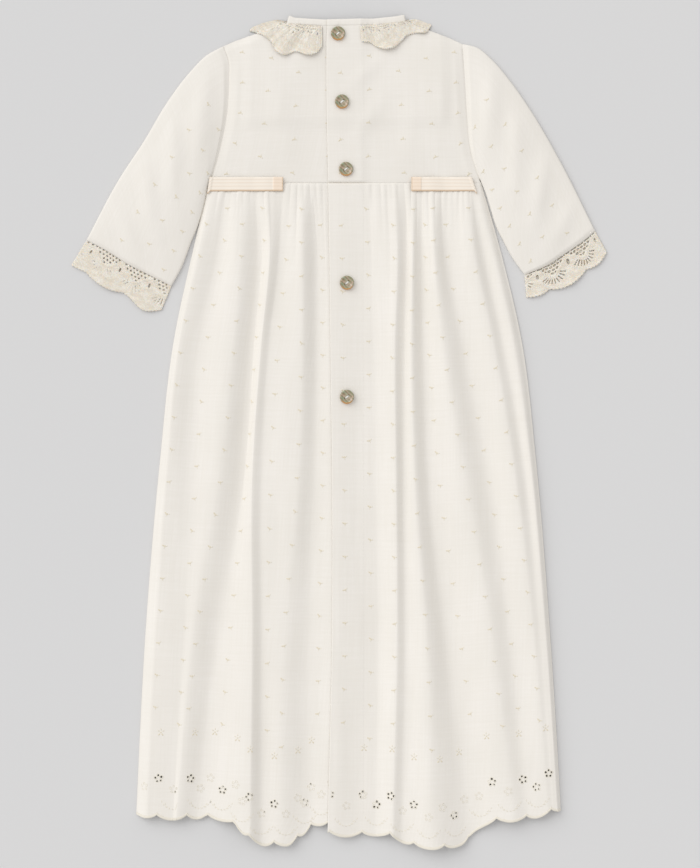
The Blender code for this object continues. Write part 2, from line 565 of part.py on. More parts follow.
def ribbon(name, ends, bodice, skirt, finish, collection):
    """Flat ribbon over the waist seam, its end folded under at the side seam."""
    inner, outer, slant = ends
    low_y, high_y = RIBBON_Y

    def place(u, v, w):
        x = inner + (outer + slant * (1 - 2 * v) * 0.5 - inner) * u
        y = low_y + (high_y - low_y) * v
        carried = np.maximum(bodice.top_at(x, np.full_like(x, WAIST_Y + 4)),
                             skirt.top_at(x, np.full_like(x, WAIST_Y - 7)))
        tuck = ramp(np.abs(x - inner), RIBBON_TUCK, RIBBON_TUCK * 0.4)
        tuck = tuck + ramp(np.abs(x - outer), RIBBON_TUCK, 2.0)
        level = np.max(carried) + SEAM
        return np.column_stack([x, y, level + 0.3 * tuck + (RIBBON + 0.3 * tuck) * w])

    return slab(name, 12, 2, place, finish, collection)


def button(name, x, y, panel, finish, collection, cutters):
    """Turned disc with a raised rim and two sewing holes, lying on the right back."""
    half = BUTTON_WIDE / 2
    profile = ((0.0, 0.62), (0.55, 0.62), (0.78, 0.95), (0.93, 0.90), (1.0, 0.5), (0.9, 0.08), (0.0, 0.0))
    ring = np.linspace(0, 2 * pi, 12, endpoint=False)
    base = np.max(panel.top_at(x + half * np.cos(ring), y + half * np.sin(ring)))
    base = max(base, panel.top_at([x], [y])[0]) + SEAM
    bm = bmesh.new()
    points = [bm.verts.new((half * r * MM, 0, BUTTON_THICK * z * MM)) for r, z in profile]
    lines = [bm.edges.new(pair) for pair in zip(points[:-1], points[1:])]
    bmesh.ops.spin(bm, geom=points + lines, axis=(0, 0, 1), cent=(0, 0, 0), angle=2 * pi, steps=14,
                   use_merge=True)
    bmesh.ops.remove_doubles(bm, verts=bm.verts, dist=0.00001)
    node = finish_node(name, bm, finish, collection)
    node.location = (x * MM, y * MM, base * MM)
    for k, side in enumerate((-1, 1)):
        cutter_bm = bmesh.new()
        bmesh.ops.create_cone(cutter_bm, cap_ends=True, segments=8, radius1=BUTTON_HOLE / 2 * MM,
                              radius2=BUTTON_HOLE / 2 * MM, depth=3 * BUTTON_THICK * MM)
        cutter = finish_node(f"{name}_hole_{k + 1}", cutter_bm, finish, cutters)
        tilt = 0.7
        away = side * BUTTON_HOLES_APART / 2
        cutter.location = ((x + away * np.cos(tilt)) * MM, (y + away * np.sin(tilt)) * MM, base * MM)
        cutter.hide_render = True
        cutter.display_type = "WIRE"
        cut = node.modifiers.new(f"hole_{k + 1}", "BOOLEAN")
        cut.operation = "DIFFERENCE"
        cut.object = cutter
    return node


def build_gown():
    for obj in list(bpy.data.objects):
        bpy.data.objects.remove(obj)
    gown = collection_for("christening_gown")
    cutters = collection_for("cutters")
    batiste = material("batiste", (0.86, 0.83, 0.76), 0.85)
    lace = material("lace", (0.78, 0.69, 0.58), 0.9)
    satin = material("ribbon", (0.87, 0.77, 0.64), 0.45)
    pearl = material("pearl", (0.30, 0.26, 0.18), 0.25)

    top, bottom = WAIST_Y + SEAM / 2, WAIST_Y - SEAM / 2
    skirt_left = Panel(SKIRT_LEFT, SKIRT_AT, SKIRT_ROWS, bottom, HEM_LEFT, SKIRT_LEFT[0].x[0])
    skirt_right = Panel(SKIRT_RIGHT, SKIRT_AT, SKIRT_ROWS, bottom, HEM_RIGHT, SKIRT_RIGHT[-1].x[0])
    skirt_front = Panel(SKIRT_FRONT, SKIRT_AT, SKIRT_FRONT_ROWS, bottom, HEM_FRONT)
    bodice_left = Panel(BODICE_LEFT, BODICE_AT, BODICE_ROWS, top)
    bodice_right = Panel(BODICE_RIGHT, BODICE_AT, BODICE_ROWS, top, creases=BODICE_CREASES)

    skirt_front.build("skirt_front", batiste, gown)
    skirt_left.build("skirt_back_left", batiste, gown)
    skirt_right.build("skirt_back_right", batiste, gown)
    front_bodice().build("bodice_front", batiste, gown)
    bodice_left.build("bodice_back_left", batiste, gown)
    bodice_right.build("bodice_back_right", batiste, gown)

    for side, spec in (("left", SLEEVE_LEFT), ("right", SLEEVE_RIGHT)):
        sleeve(f"sleeve_{side}", spec, batiste, gown)
        cuff_lace(f"cuff_lace_{side}_lower", spec, False, lace, gown)
        cuff_lace(f"cuff_lace_{side}_upper", spec, True, lace, gown)

    front_binding(batiste, gown)
    back_binding("neck_binding_back_left", bodice_left, (6 / 15, 1.0), batiste, gown)
    back_binding("neck_binding_back_right", bodice_right, (0.0, 10 / 16), batiste, gown)
    front_frill(lace, gown)
    collar_lace("collar_lace_left", COLLAR_LEFT, bodice_left, lace, gown)
    collar_lace("collar_lace_right", COLLAR_RIGHT, bodice_right, lace, gown)

    ribbon("ribbon_left", RIBBONS["ribbon_left"], bodice_left, skirt_left, satin, gown)
    ribbon("ribbon_right", RIBBONS["ribbon_right"], bodice_right, skirt_right, satin, gown)
    for k, (x, y) in enumerate(BUTTONS):
        panel = bodice_right if y > WAIST_Y else skirt_right
        button(f"button_{k + 1}", x, y, panel, pearl, gown, cutters)


build_gown()
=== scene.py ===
# Christening gown in cotton batiste, laid flat with its back up.
# The tables are in millimetres on the frame's own axes: +X to the wearer's right, +Y to the neck, +Z up.
# A shape is a function of two shares, u across a piece and v along it, worked out on whole grids.

from math import pi

import bpy
import numpy as np
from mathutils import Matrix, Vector


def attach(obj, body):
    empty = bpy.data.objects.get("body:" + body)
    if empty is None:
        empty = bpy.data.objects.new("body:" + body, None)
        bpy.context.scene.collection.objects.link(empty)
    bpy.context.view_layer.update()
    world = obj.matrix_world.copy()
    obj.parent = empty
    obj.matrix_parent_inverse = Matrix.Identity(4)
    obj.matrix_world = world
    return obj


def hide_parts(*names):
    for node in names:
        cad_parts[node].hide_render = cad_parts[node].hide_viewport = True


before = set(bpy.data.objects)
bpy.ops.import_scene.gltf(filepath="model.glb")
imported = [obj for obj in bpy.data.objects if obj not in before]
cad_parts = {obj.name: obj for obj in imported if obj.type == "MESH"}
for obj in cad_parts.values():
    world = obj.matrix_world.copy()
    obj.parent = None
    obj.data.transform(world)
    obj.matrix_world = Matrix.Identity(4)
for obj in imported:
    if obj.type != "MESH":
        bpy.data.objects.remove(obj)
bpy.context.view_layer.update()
mm = 0.001

# What all the cloth shares: cadWall is the solids' wall, whose upper face the cloth follows
cloth = {"cadWall": 1.2, "shell": 0.6, "frontTop": 0.8, "tuckedTop": 1.45, "waistY": 222.8, "seam": 0.3}


def ramp(value, start, end):
    # Smooth step from 0 at start to 1 at end
    t = np.clip((value - start) / (end - start), 0, 1)
    return t * t * (3 - 2 * t)


def through(stations, values, at):
    # Smooth curve through values at the stations: cubic pieces with shared slopes
    stations, values = np.asarray(stations, float), np.asarray(values, float)
    slope = np.gradient(values, stations, axis=0)
    k = np.clip(np.searchsorted(stations, at, side="right") - 1, 0, len(stations) - 2)
    step = stations[k + 1] - stations[k]
    t = (at - stations[k]) / step
    if values.ndim == 2:
        step, t = step[:, None], t[:, None]
    return ((1 + 2 * t) * (1 - t) ** 2 * values[k] + t * (1 - t) ** 2 * step * slope[k]
            + t * t * (3 - 2 * t) * values[k + 1] + t * t * (t - 1) * step * slope[k + 1])


def along(points, share):
    # Point at a share of the chord length of a smooth outline
    points = np.array(points, float)
    run = np.concatenate([[0], np.cumsum(np.linalg.norm(np.diff(points, axis=0), axis=1))])
    return through(run / run[-1], points, share)


def coons(bottom, top, left, right, u, v):
    # Patch blended from four edges: the two straight blends added, less the blend of the four corners
    b, t, l, r = along(bottom, u), along(top, u), along(left, v), along(right, v)
    u, v = u[:, None], v[:, None]
    corners = ((1 - u) * (1 - v) * np.array(bottom[0]) + u * (1 - v) * np.array(bottom[-1])
               + (1 - u) * v * np.array(top[0]) + u * v * np.array(top[-1]))
    return (1 - v) * b + v * t + (1 - u) * l + u * r - corners


def ripple(x, y, cellX, cellY, seed):
    # Smooth noise from -1 to 1: random heights on a lattice, blended between its corners with smooth steps
    n, far = 61, 700  # lattice points, and cells that keep the places above nil
    heights = np.random.default_rng(seed).uniform(-1, 1, (n, n))
    gx, gy = np.asarray(x) / cellX + far, np.asarray(y) / cellY + far
    i, j = np.floor(gx).astype(int), np.floor(gy).astype(int)
    s, t = ramp(gx - i, 0, 1), ramp(gy - j, 0, 1)
    i, j, i1, j1 = i % n, j % n, (i + 1) % n, (j + 1) % n
    return ((heights[i, j] * (1 - s) + heights[i1, j] * s) * (1 - t)
            + (heights[i, j1] * (1 - s) + heights[i1, j1] * s) * t)


def creaseHeight(creases, x, y):
    # Sum of soft ridges from one point to another: a bell across, and highest midway along
    total = np.zeros_like(x)
    for x0, y0, x1, y1, wide, high in creases:
        alongX, alongY = x1 - x0, y1 - y0
        t = np.clip(((x - x0) * alongX + (y - y0) * alongY) / (alongX ** 2 + alongY ** 2), 0, 1)
        away = np.hypot(x - x0 - t * alongX, y - y0 - t * alongY)
        total += high * np.exp(-(away / wide) ** 2) * np.sqrt(np.sin(pi * np.clip(t, 0.02, 0.98)))
    return total


frontFrillLift = {"high": 1.5, "fromY": 268, "toY": 284, "middleX": 6, "outside": 97, "inside": 84}


def collarRise(x, y):
    # The front frill under the front bodice lifts what lies above it
    k = frontFrillLift
    return (k["high"] * ramp(y, k["fromY"], k["toY"])
            * ramp(np.abs(x - k["middleX"]), k["outside"], k["inside"]))


# Meshes

def walked(points, axis):
    # Distance walked over a grid of points in one direction
    step = np.linalg.norm(np.diff(points, axis=axis), axis=2)
    first = np.zeros_like(np.take(step, [0], axis=axis))
    return np.concatenate([first, np.cumsum(step, axis=axis)], axis=axis)


def corners4(values):
    # The four corner values of each grid square, going round it
    return values[:-1, :-1], values[1:, :-1], values[1:, 1:], values[:-1, 1:]


def snapped(points, gap, kept):
    # Points on a hole's edge move down the gap's slope to where the gap is nil, by half a square at most
    around, full = np.zeros(gap.shape), np.zeros(gap.shape)
    for a, b in zip(corners4(around), corners4(full)):
        a += kept
        b += 1
    edge = (around > 0) & (around < full)
    slopeV, slopeU = np.gradient(gap)
    steep = np.maximum(slopeU ** 2 + slopeV ** 2, 1e-6)
    moveU = np.clip(-gap * slopeU / steep, -0.5, 0.5) * edge
    moveV = np.clip(-gap * slopeV / steep, -0.5, 0.5) * edge
    alongV, alongU = np.gradient(points, axis=(0, 1))
    return points + moveU[..., None] * alongU + moveV[..., None] * alongV


def makeObject(name, points, faces, finishes, loopUv=None, faceFinish=None):
    # One object at the origin from points in mm
    mesh = bpy.data.meshes.new(name)
    mesh.from_pydata(points * mm, [], faces.tolist() if isinstance(faces, np.ndarray) else faces)
    if loopUv is not None:
        layer = mesh.uv_layers.new(name="cloth")
        layer.data.foreach_set("uv", np.ascontiguousarray(loopUv, np.float32).ravel())
    for finish in finishes:
        mesh.materials.append(finish)
    if faceFinish is not None:
        mesh.polygons.foreach_set("material_index", faceFinish)
    mesh.shade_smooth()
    mesh.update()
    made = bpy.data.objects.new(name, mesh)
    bpy.context.scene.collection.objects.link(made)
    return made


def gridPiece(name, shape, across, down, finish, shell, keep=None, closed=False):
    # Shell on a grid: shape(u, v) gives the outer points, and keep(u, v) the distance in mm to the nearest
    # hole's edge, below nil inside it. Solidify gives the wall, inwards. Returns the object and its flat cut.
    u, v = np.meshgrid(across, down)
    points = shape(u.ravel(), v.ravel()).reshape(*u.shape, 3)
    uv = np.stack([walked(points, 1), walked(points, 0)], axis=2)
    a, b, c, d = corners4(points)
    area = np.linalg.norm(np.cross(c - a, d - b), axis=2).sum() / 2
    flat = {"width": uv[:, -1, 0].max() * mm, "length": uv[-1, :, 1].max() * mm, "area": area * mm * mm}
    kept = np.ones((len(down) - 1, len(across) - 1), bool)
    if keep is not None:
        gap = keep(u.ravel(), v.ravel()).reshape(u.shape)
        kept = sum(corners4(gap)) > 0
        points = snapped(points, gap, kept)
    index = np.arange(u.size).reshape(u.shape)
    loops = np.stack(corners4(index), axis=2)[kept]
    if closed:
        index[:, -1] = index[:, 0]
    quads = np.stack(corners4(index), axis=2)[kept]
    p = points.reshape(-1, 3)
    normal = np.cross(p[quads[:, 2]] - p[quads[:, 0]], p[quads[:, 3]] - p[quads[:, 1]])
    middle = p[quads].mean(axis=1)
    outward = (normal * (middle - middle.mean(axis=0))).sum() if closed else normal[:, 2].sum()
    if outward < 0:
        quads, loops = quads[:, ::-1], loops[:, ::-1]
    used, faces = np.unique(quads, return_inverse=True)
    made = makeObject(name, p[used], faces.reshape(-1, 4), [finish], uv.reshape(-1, 2)[loops.ravel()] * mm)
    if shell:
        wall = made.modifiers.new("shell", "SOLIDIFY")
        wall.thickness = shell * mm
        wall.offset = -1
    return made, flat


def lines(*stretches):
    # Shares along a piece: each stretch is (start, end, steps)
    return np.unique(np.concatenate([np.linspace(a, b, n + 1) for a, b, n in stretches]).round(7))


def evenSteps(count):
    return np.linspace(0, 1, count + 1)


def evenly(long, cell):
    # Shares a cell apart along a length
    return evenSteps(int(long / cell) - 1)


def slopesAt(shape, u, v):
    # How the surface runs along u and along v, from small steps either way
    e = 0.0004
    return (shape(u + e, v) - shape(u - e, v)) / (2 * e), (shape(u, v + e) - shape(u, v - e)) / (2 * e)


def normalAt(shape, u, v):
    # Upward unit normal
    normal = np.cross(*slopesAt(shape, u, v))
    return normal * np.sign(normal[:, 2:3]) / np.linalg.norm(normal, axis=1)[:, None]


def stepped(shape, places, a, b):
    # Shares that lie a mm across and b mm along the cloth from each place: three Newton steps towards the
    # aim in plan, which keep a motif true where it crosses a fold line
    u0, v0 = places[:, 0], places[:, 1]
    across, onward = slopesAt(shape, u0, v0)
    wide, long = np.linalg.norm(across, axis=1)[:, None], np.linalg.norm(onward, axis=1)[:, None]
    onward = onward / long
    across = across - (across * onward).sum(axis=1)[:, None] * onward
    across = across / np.linalg.norm(across, axis=1)[:, None]
    aim = shape(u0, v0)[:, None] + a[..., None] * across[:, None] + b[..., None] * onward[:, None]
    aim = aim[..., :2].reshape(-1, 2)
    u, v = (u0[:, None] + a / wide).ravel(), (v0[:, None] + b / long).ravel()
    for _ in range(3):
        u, v = np.clip(u, 0, 1), np.clip(v, 0, 1)
        miss = aim - shape(u, v)[:, :2]
        runU, runV = slopesAt(shape, u, v)
        spread = runU[:, 0] * runV[:, 1] - runU[:, 1] * runV[:, 0]
        u = u + np.clip((miss[:, 0] * runV[:, 1] - miss[:, 1] * runV[:, 0]) / spread, -0.02, 0.02)
        v = v + np.clip((runU[:, 0] * miss[:, 1] - runU[:, 1] * miss[:, 0]) / spread, -0.02, 0.02)
    return u, v


def stitchOnto(name, shape, places, motif, finishes, turns=0.0, sizes=1.0):
    # Sewn work: each motif's corners are mm across and along from its place on the cloth, and above it
    ab, height, faces, finishOf = motif
    count, size = len(places), len(ab)
    sizes, turns = np.broadcast_to(sizes, count)[:, None], np.broadcast_to(turns, count)[:, None]
    cos, sin = sizes * np.cos(turns), sizes * np.sin(turns)
    u, v = stepped(shape, places, ab[:, 0] * cos - ab[:, 1] * sin, ab[:, 0] * sin + ab[:, 1] * cos)
    points = shape(u, v) + normalAt(shape, u, v) * np.tile(height, count)[:, None]
    if np.cross(*slopesAt(shape, *places.T))[:, 2].mean() > 0:
        faces = [face[::-1] for face in faces]
    allFaces = [tuple(i + k * size for i in face) for k in range(count) for face in faces]
    return makeObject(name, points, allFaces, finishes, None, np.tile(finishOf, count))


def satinOvals(parts):
    # Raised ovals: a rim on the cloth, a ring at two thirds of the width, and a top. Columns of parts:
    # across, down, half length, half width, turn, height, finish
    ab, height, faces, finishOf = [], [], [], []
    sides = 8
    ring = np.linspace(0, 2 * pi, sides, endpoint=False)
    for across, down, long, wide, turn, high, finish in parts:
        rim = len(height)
        inner, top = rim + sides, rim + 2 * sides
        for scale, z in ((1.0, -0.1), (0.66, 0.8 * high)):
            p, q = long * scale * np.cos(ring), wide * scale * np.sin(ring)
            ab += list(zip(across + p * np.cos(turn) - q * np.sin(turn),
                           down + p * np.sin(turn) + q * np.cos(turn)))
            height += [z] * sides
        ab.append((across, down))
        height.append(high)
        # v runs down the cloth, so the corners go round the other way
        pairs = [(k, (k + 1) % sides) for k in range(sides)]
        faces += [(rim + n, rim + k, inner + k, inner + n) for k, n in pairs]
        faces += [(inner + n, inner + k, top) for k, n in pairs]
        finishOf += [finish] * 2 * sides
    return np.array(ab), np.array(height), faces, np.array(finishOf)


def eyeletRim(radius, wide, high):
    # Satin-stitched ring round a hole: three bands from inside the hole over the top to the cloth
    sides = 10
    ring = np.linspace(0, 2 * pi, sides, endpoint=False)
    bands = ((radius - 0.1, -0.45), (radius + 0.1, 0.6 * high), (radius + wide / 2, high),
             (radius + wide, -0.05))
    ab = [(r * np.cos(t), r * np.sin(t)) for r, _ in bands for t in ring]
    height = [z for _, z in bands for _ in ring]
    faces = [(b + (k + 1) % sides, b + sides + (k + 1) % sides, b + sides + k, b + k)
             for b in range(0, 3 * sides, sides) for k in range(sides)]
    return np.array(ab), np.array(height), faces, np.zeros(len(faces), int)


# Materials

def linear(colour):
    # sRGB hex to linear
    s = np.array([int(colour[k:k + 2], 16) for k in (1, 3, 5)]) / 255
    return (*np.where(s <= 0.04045, s / 12.92, ((s + 0.055) / 1.055) ** 2.4), 1.0)


def addNode(tree, kind, sockets=None, out=0, **settings):
    # One node with its settings; a socket takes a value or another node's output. Gives its own output.
    made = tree.nodes.new("ShaderNode" + kind)
    for key, value in settings.items():
        setattr(made, key, value)
    for socket, value in (sockets or {}).items():
        if isinstance(value, bpy.types.NodeSocket):
            tree.links.new(value, made.inputs[socket])
        else:
            made.inputs[socket].default_value = value
    return made.outputs[out]


def newMaterial(name, settings):
    made = bpy.data.materials.new(name)
    made.use_nodes = True
    shader = made.node_tree.nodes["Principled BSDF"]
    for socket, value in settings.items():
        shader.inputs[socket].default_value = value
    return made, made.node_tree, shader


def finishWith(tree, shader, colour, height, strength, **under):
    # Links a colour, and a relief of up to 0.2 mm from a height
    bump = addNode(tree, "Bump", {"Height": height, "Strength": strength, "Distance": 0.2 * mm, **under})
    tree.links.new(colour, shader.inputs["Base Color"])
    tree.links.new(bump, shader.inputs["Normal"])


rgba = {"out": 2, "data_type": "RGBA"}  # colour mix: sockets 0 share, 6 first, 7 second
waveMm = 314.0  # a wave texture's scale for bands 1 mm apart, on a map in metres


def grains(tree, place, sizes, detail):
    # Noises stretched to so many mm wide and long on a map in metres, from 0 to 1
    for wide, long in sizes:
        scale = (1000 / wide, 1000 / long, 1000 / wide)
        stretched = addNode(tree, "Mapping", {"Vector": place, "Scale": scale})
        yield addNode(tree, "TexNoise", {"Vector": stretched, "Scale": 1.0, "Detail": detail})


batisteLook = {"light": "#F2EEE8", "shade": "#E9E5DD", "slub": "#E3DED4", "weaveMm": 0.9}


def wovenBatiste():
    # Cotton batiste, plain woven and mercerised: matt ivory, with fine uneven threads along and across.
    # The real threads are 0.3 mm apart, too fine to show, so they are drawn three times as coarse.
    made, tree, shader = newMaterial("woven cotton batiste", {
        "Roughness": 0.88, "Specular IOR Level": 0.25, "Sheen Weight": 0.12, "Sheen Roughness": 0.5})
    place = addNode(tree, "UVMap", uv_map="cloth")
    warp, weft, cloud = grains(tree, place, ((1.6, 55), (40, 1.8), (45, 70)), 2.0)
    threads = addNode(tree, "Math", {0: warp, 1: weft}, operation="MULTIPLY")
    slub = addNode(tree, "MapRange", {0: threads, 1: 0.12, 2: 0.45, 3: 0.35, 4: 0.0})
    light, shade, darker = [linear(batisteLook[name]) for name in ("light", "shade", "slub")]
    tone = addNode(tree, "Mix", {0: cloud, 6: light, 7: shade}, **rgba)
    colour = addNode(tree, "Mix", {0: slub, 6: tone, 7: darker}, **rgba)
    waves = [addNode(tree, "TexWave", {"Vector": place, "Scale": waveMm / batisteLook["weaveMm"],
                                       "Distortion": 0.6}, "Fac", bands_direction=way) for way in "XY"]
    weave = addNode(tree, "Math", {0: waves[0], 1: waves[1]}, operation="ADD")
    fine = addNode(tree, "Bump", {"Height": weave, "Strength": 0.18, "Distance": 0.06 * mm})
    finishWith(tree, shader, colour, threads, 0.3, Normal=fine)
    return made


laceLook = {"thread": "#F1EBE0", "dark": "#D9CDBC", "cordMm": 1.1}


def bobbinLace():
    # Cotton bobbin lace in unbleached thread: matt pinkish beige, corded, a little browner in the crossings
    made, tree, shader = newMaterial("cotton bobbin lace", {
        "Roughness": 0.92, "Specular IOR Level": 0.2, "Sheen Weight": 0.1, "Subsurface Weight": 0.4,
        "Subsurface Radius": (1.0, 0.8, 0.6), "Subsurface Scale": 1.2 * mm})
    place = addNode(tree, "UVMap", uv_map="cloth")
    thread, dark = linear(laceLook["thread"]), linear(laceLook["dark"])
    patches, fuzz = grains(tree, place, ((7, 4), (1.5, 0.9)), 3.0)
    worn = addNode(tree, "MapRange", {0: patches, 1: 0.38, 2: 0.62, 3: 0.0, 4: 0.5})
    crossing = addNode(tree, "MapRange", {0: fuzz, 1: 0.4, 2: 0.62, 3: 0.45, 4: 0.0})
    tone = addNode(tree, "Mix", {0: worn, 6: thread, 7: dark}, **rgba)
    colour = addNode(tree, "Mix", {0: crossing, 6: tone, 7: dark}, **rgba)
    scale = waveMm / laceLook["cordMm"]
    cords = [addNode(tree, "TexWave", {"Vector": place, "Scale": scale, "Distortion": 3.0, "Detail": 1.0},
                     "Fac", bands_direction=way) for way in ("DIAGONAL", "Y")]
    woven = addNode(tree, "Math", {0: cords[0], 1: cords[1]}, operation="MULTIPLY")
    finishWith(tree, shader, colour, woven, 0.4)
    return made


# Colours, then widths in mm: lines apart, the doubled end, the painted shadow along the lower edge, and the
# turned end's line
ribbonLook = {"satin": "#F2EADE", "peach": "#F3E0CC", "line": "#DCC0A0", "linesMm": 3.1, "tuckMm": 9.0,
              "lowerShadowMm": 1.5, "turnedMm": 1.4}


def satinRibbon():
    # Polyester satin ribbon: soft sheen, fine lines along it, peach where it is doubled, a darker line at its
    # turned inner end, and a painted shadow along its lower edge.
    # Its map has mm along in x and across in y.
    made, tree, shader = newMaterial("satin ribbon", {
        "Roughness": 0.42, "Sheen Weight": 0.2, "Specular IOR Level": 0.4})
    place = addNode(tree, "UVMap", uv_map="cloth")
    x, y = [addNode(tree, "SeparateXYZ", {0: place}, axis) for axis in "XY"]
    look = ribbonLook
    satin, peach, line = linear(look["satin"]), linear(look["peach"]), linear(look["line"])
    scale, doubled = waveMm / look["linesMm"], look["tuckMm"]
    wave = addNode(tree, "TexWave", {"Vector": place, "Scale": scale, "Distortion": 0.3}, "Fac",
                   bands_direction="Y")
    tuck = addNode(tree, "MapRange", {0: x, 1: (doubled + 0.4) * mm, 2: (doubled - 0.4) * mm,
                                      3: 0.12, 4: 0.85})
    # Painted shadow: the line colour along the ribbon's lower edge
    low = addNode(tree, "MapRange", {0: y, 1: look["lowerShadowMm"] * mm, 2: (look["lowerShadowMm"] - 0.8) * mm})
    fold = look["turnedMm"]
    turned = addNode(tree, "MapRange", {0: x, 1: fold * mm, 2: (fold - 0.9) * mm, 4: 0.6})
    # Edges: the turned end's line and the painted shadow at the lower edge
    edges = addNode(tree, "Math", {0: low, 1: turned}, operation="MAXIMUM")
    crests = addNode(tree, "MapRange", {0: wave, 1: 0.75, 2: 1.0, 3: 0.0, 4: 0.3})
    body = addNode(tree, "Mix", {0: tuck, 6: satin, 7: peach}, **rgba)
    lined = addNode(tree, "Mix", {0: crests, 6: body, 7: line}, **rgba)
    colour = addNode(tree, "Mix", {0: edges, 6: lined, 7: line}, **rgba)
    finishWith(tree, shader, colour, wave, 0.4)
    return made


# The shell's body, green and pink tones, then the colour of the painted light on the lower rim and of the
# painted highlight in the middle
pearlLook = {"body": "#8A7A58", "green": "#8FA586", "pink": "#C4A38E", "paintedRimLight": "#C08A48", "paintedHighlight": "#DDD5C4"}


def turnedPearl():
    # Mother-of-pearl, turned and polished: grey-brown layers with a green and pink shimmer, painted light in
    # a warm orange-brown on the lower rim, and a painted highlight in the middle.
    # Its map is centred on the button, one unit to the rim.
    made, tree, shader = newMaterial("turned mother-of-pearl", {
        "Roughness": 0.22, "Coat Weight": 0.7, "Coat Roughness": 0.08, "IOR": 1.53})
    place = addNode(tree, "UVMap", uv_map="cloth")
    tones = {name: linear(value) for name, value in pearlLook.items()}
    layers = addNode(tree, "TexWave", {"Vector": place, "Scale": 1.1, "Distortion": 5.0, "Detail": 3.0},
                     "Fac", bands_direction="DIAGONAL")
    clouds = addNode(tree, "TexNoise", {"Vector": place, "Scale": 2.2, "Detail": 3.0})
    share = addNode(tree, "MapRange", {0: clouds, 1: 0.4, 2: 0.62})
    shimmer = addNode(tree, "Mix", {0: share, 6: tones["green"], 7: tones["pink"]}, **rgba)
    layered = addNode(tree, "MapRange", {0: layers, 3: 0.1, 4: 0.9})
    body = addNode(tree, "Mix", {0: layered, 6: tones["body"], 7: shimmer}, **rgba)
    # Painted light: the lower rim of every button is mixed towards a warm orange-brown
    lower = addNode(tree, "MapRange", {0: addNode(tree, "SeparateXYZ", {0: place}, "Y"), 1: -0.35, 2: -0.8})
    outwards = addNode(tree, "VectorMath", {0: place}, "Value", operation="LENGTH")
    rim = addNode(tree, "MapRange", {0: outwards, 1: 0.72, 2: 0.86})
    paintedRimLight = addNode(tree, "Math", {0: lower, 1: rim}, operation="MULTIPLY")
    # Painted highlight: the middle of the face is mixed towards a whitish tone
    middle = addNode(tree, "MapRange", {0: outwards, 1: 0.5, 2: 0.1, 3: 0.0, 4: 0.4})
    toned = addNode(tree, "Mix", {0: middle, 6: body, 7: tones["paintedHighlight"]}, **rgba)
    colour = addNode(tree, "Mix", {0: paintedRimLight, 6: toned, 7: tones["paintedRimLight"]}, **rgba)
    finishWith(tree, shader, colour, layers, 0.15)
    return made


def sewnThread(name, colour, sheen):
    # Mercerised cotton thread in satin stitch: silky, with fine ridges 0.5 mm apart across the stitch and
    # painted shade in the grooves between them
    made, tree, shader = newMaterial(name, {
        "Roughness": 0.6, "Sheen Weight": sheen, "Specular IOR Level": 0.35})
    place = addNode(tree, "TexCoord", out="Object")
    ridges = addNode(tree, "TexWave", {"Vector": place, "Scale": waveMm / 0.5, "Distortion": 1.0}, "Fac",
                     bands_direction="DIAGONAL")
    # Painted shade: the thread a tenth darker where the ridges are low
    dark = tuple(0.9 * c for c in linear(colour)[:3]) + (1.0,)
    toned = addNode(tree, "Mix", {0: ridges, 6: dark, 7: linear(colour)}, **rgba)
    finishWith(tree, shader, toned, ridges, 0.4)
    return made


batiste, lace, ribbonSatin, pearl = wovenBatiste(), bobbinLace(), satinRibbon(), turnedPearl()
creamThread = sewnThread("cream embroidery cotton", "#EEE8DA", 0.3)
sprigThread = sewnThread("straw embroidery cotton", "#E8DFCA", 0.3)
whiteThread = sewnThread("white sewing cotton", "#F1EEE8", 0.15)
print("materials made")


# Cloth sheets

# Scallops, then two rows of eyelet flowers: rise is from the hem's line to a flower's middle
hem = {"deep": 4.8, "from": 0.92, "round": 0.7, "highRise": 33.0, "lowRise": 25.5, "ring": 2.8, "hole": 1.0,
       "small": 0.72, "sizes": (0.85, 1.1), "tilt": 0.3, "seed": 5, "rim": 0.75, "rimHigh": 0.3, "bead": 2.4,
       "beadHigh": 0.3, "beadLift": 0.12, "ridge": 0.06, "stitch": 1.3, "beadCell": 0.55, "overhang": 0.35}
gatherKinds = (
    {"spacing": 5.6, "heights": (0.3, 1.5), "reaches": (8, 30), "swells": (-6, 9)},
    {"spacing": 13.0, "heights": (0.4, 2.2), "reaches": (50, 140), "swells": (-2, 34)},
)
# How sharp their valleys are at the seam and how much softer further down, and where they fade out at the
# button stand and at the side
gatherRule = {"most": 70, "drift": 0.5, "driftCell": 2.3, "sharp": 0.65, "softer": 0.6, "softens": (30, 120),
              "standX": 4, "stand": (15, 22), "sideFade": (1, 6)}
edgeCalm = (1, 9)  # mm from a sheet's side over which its ripples swell


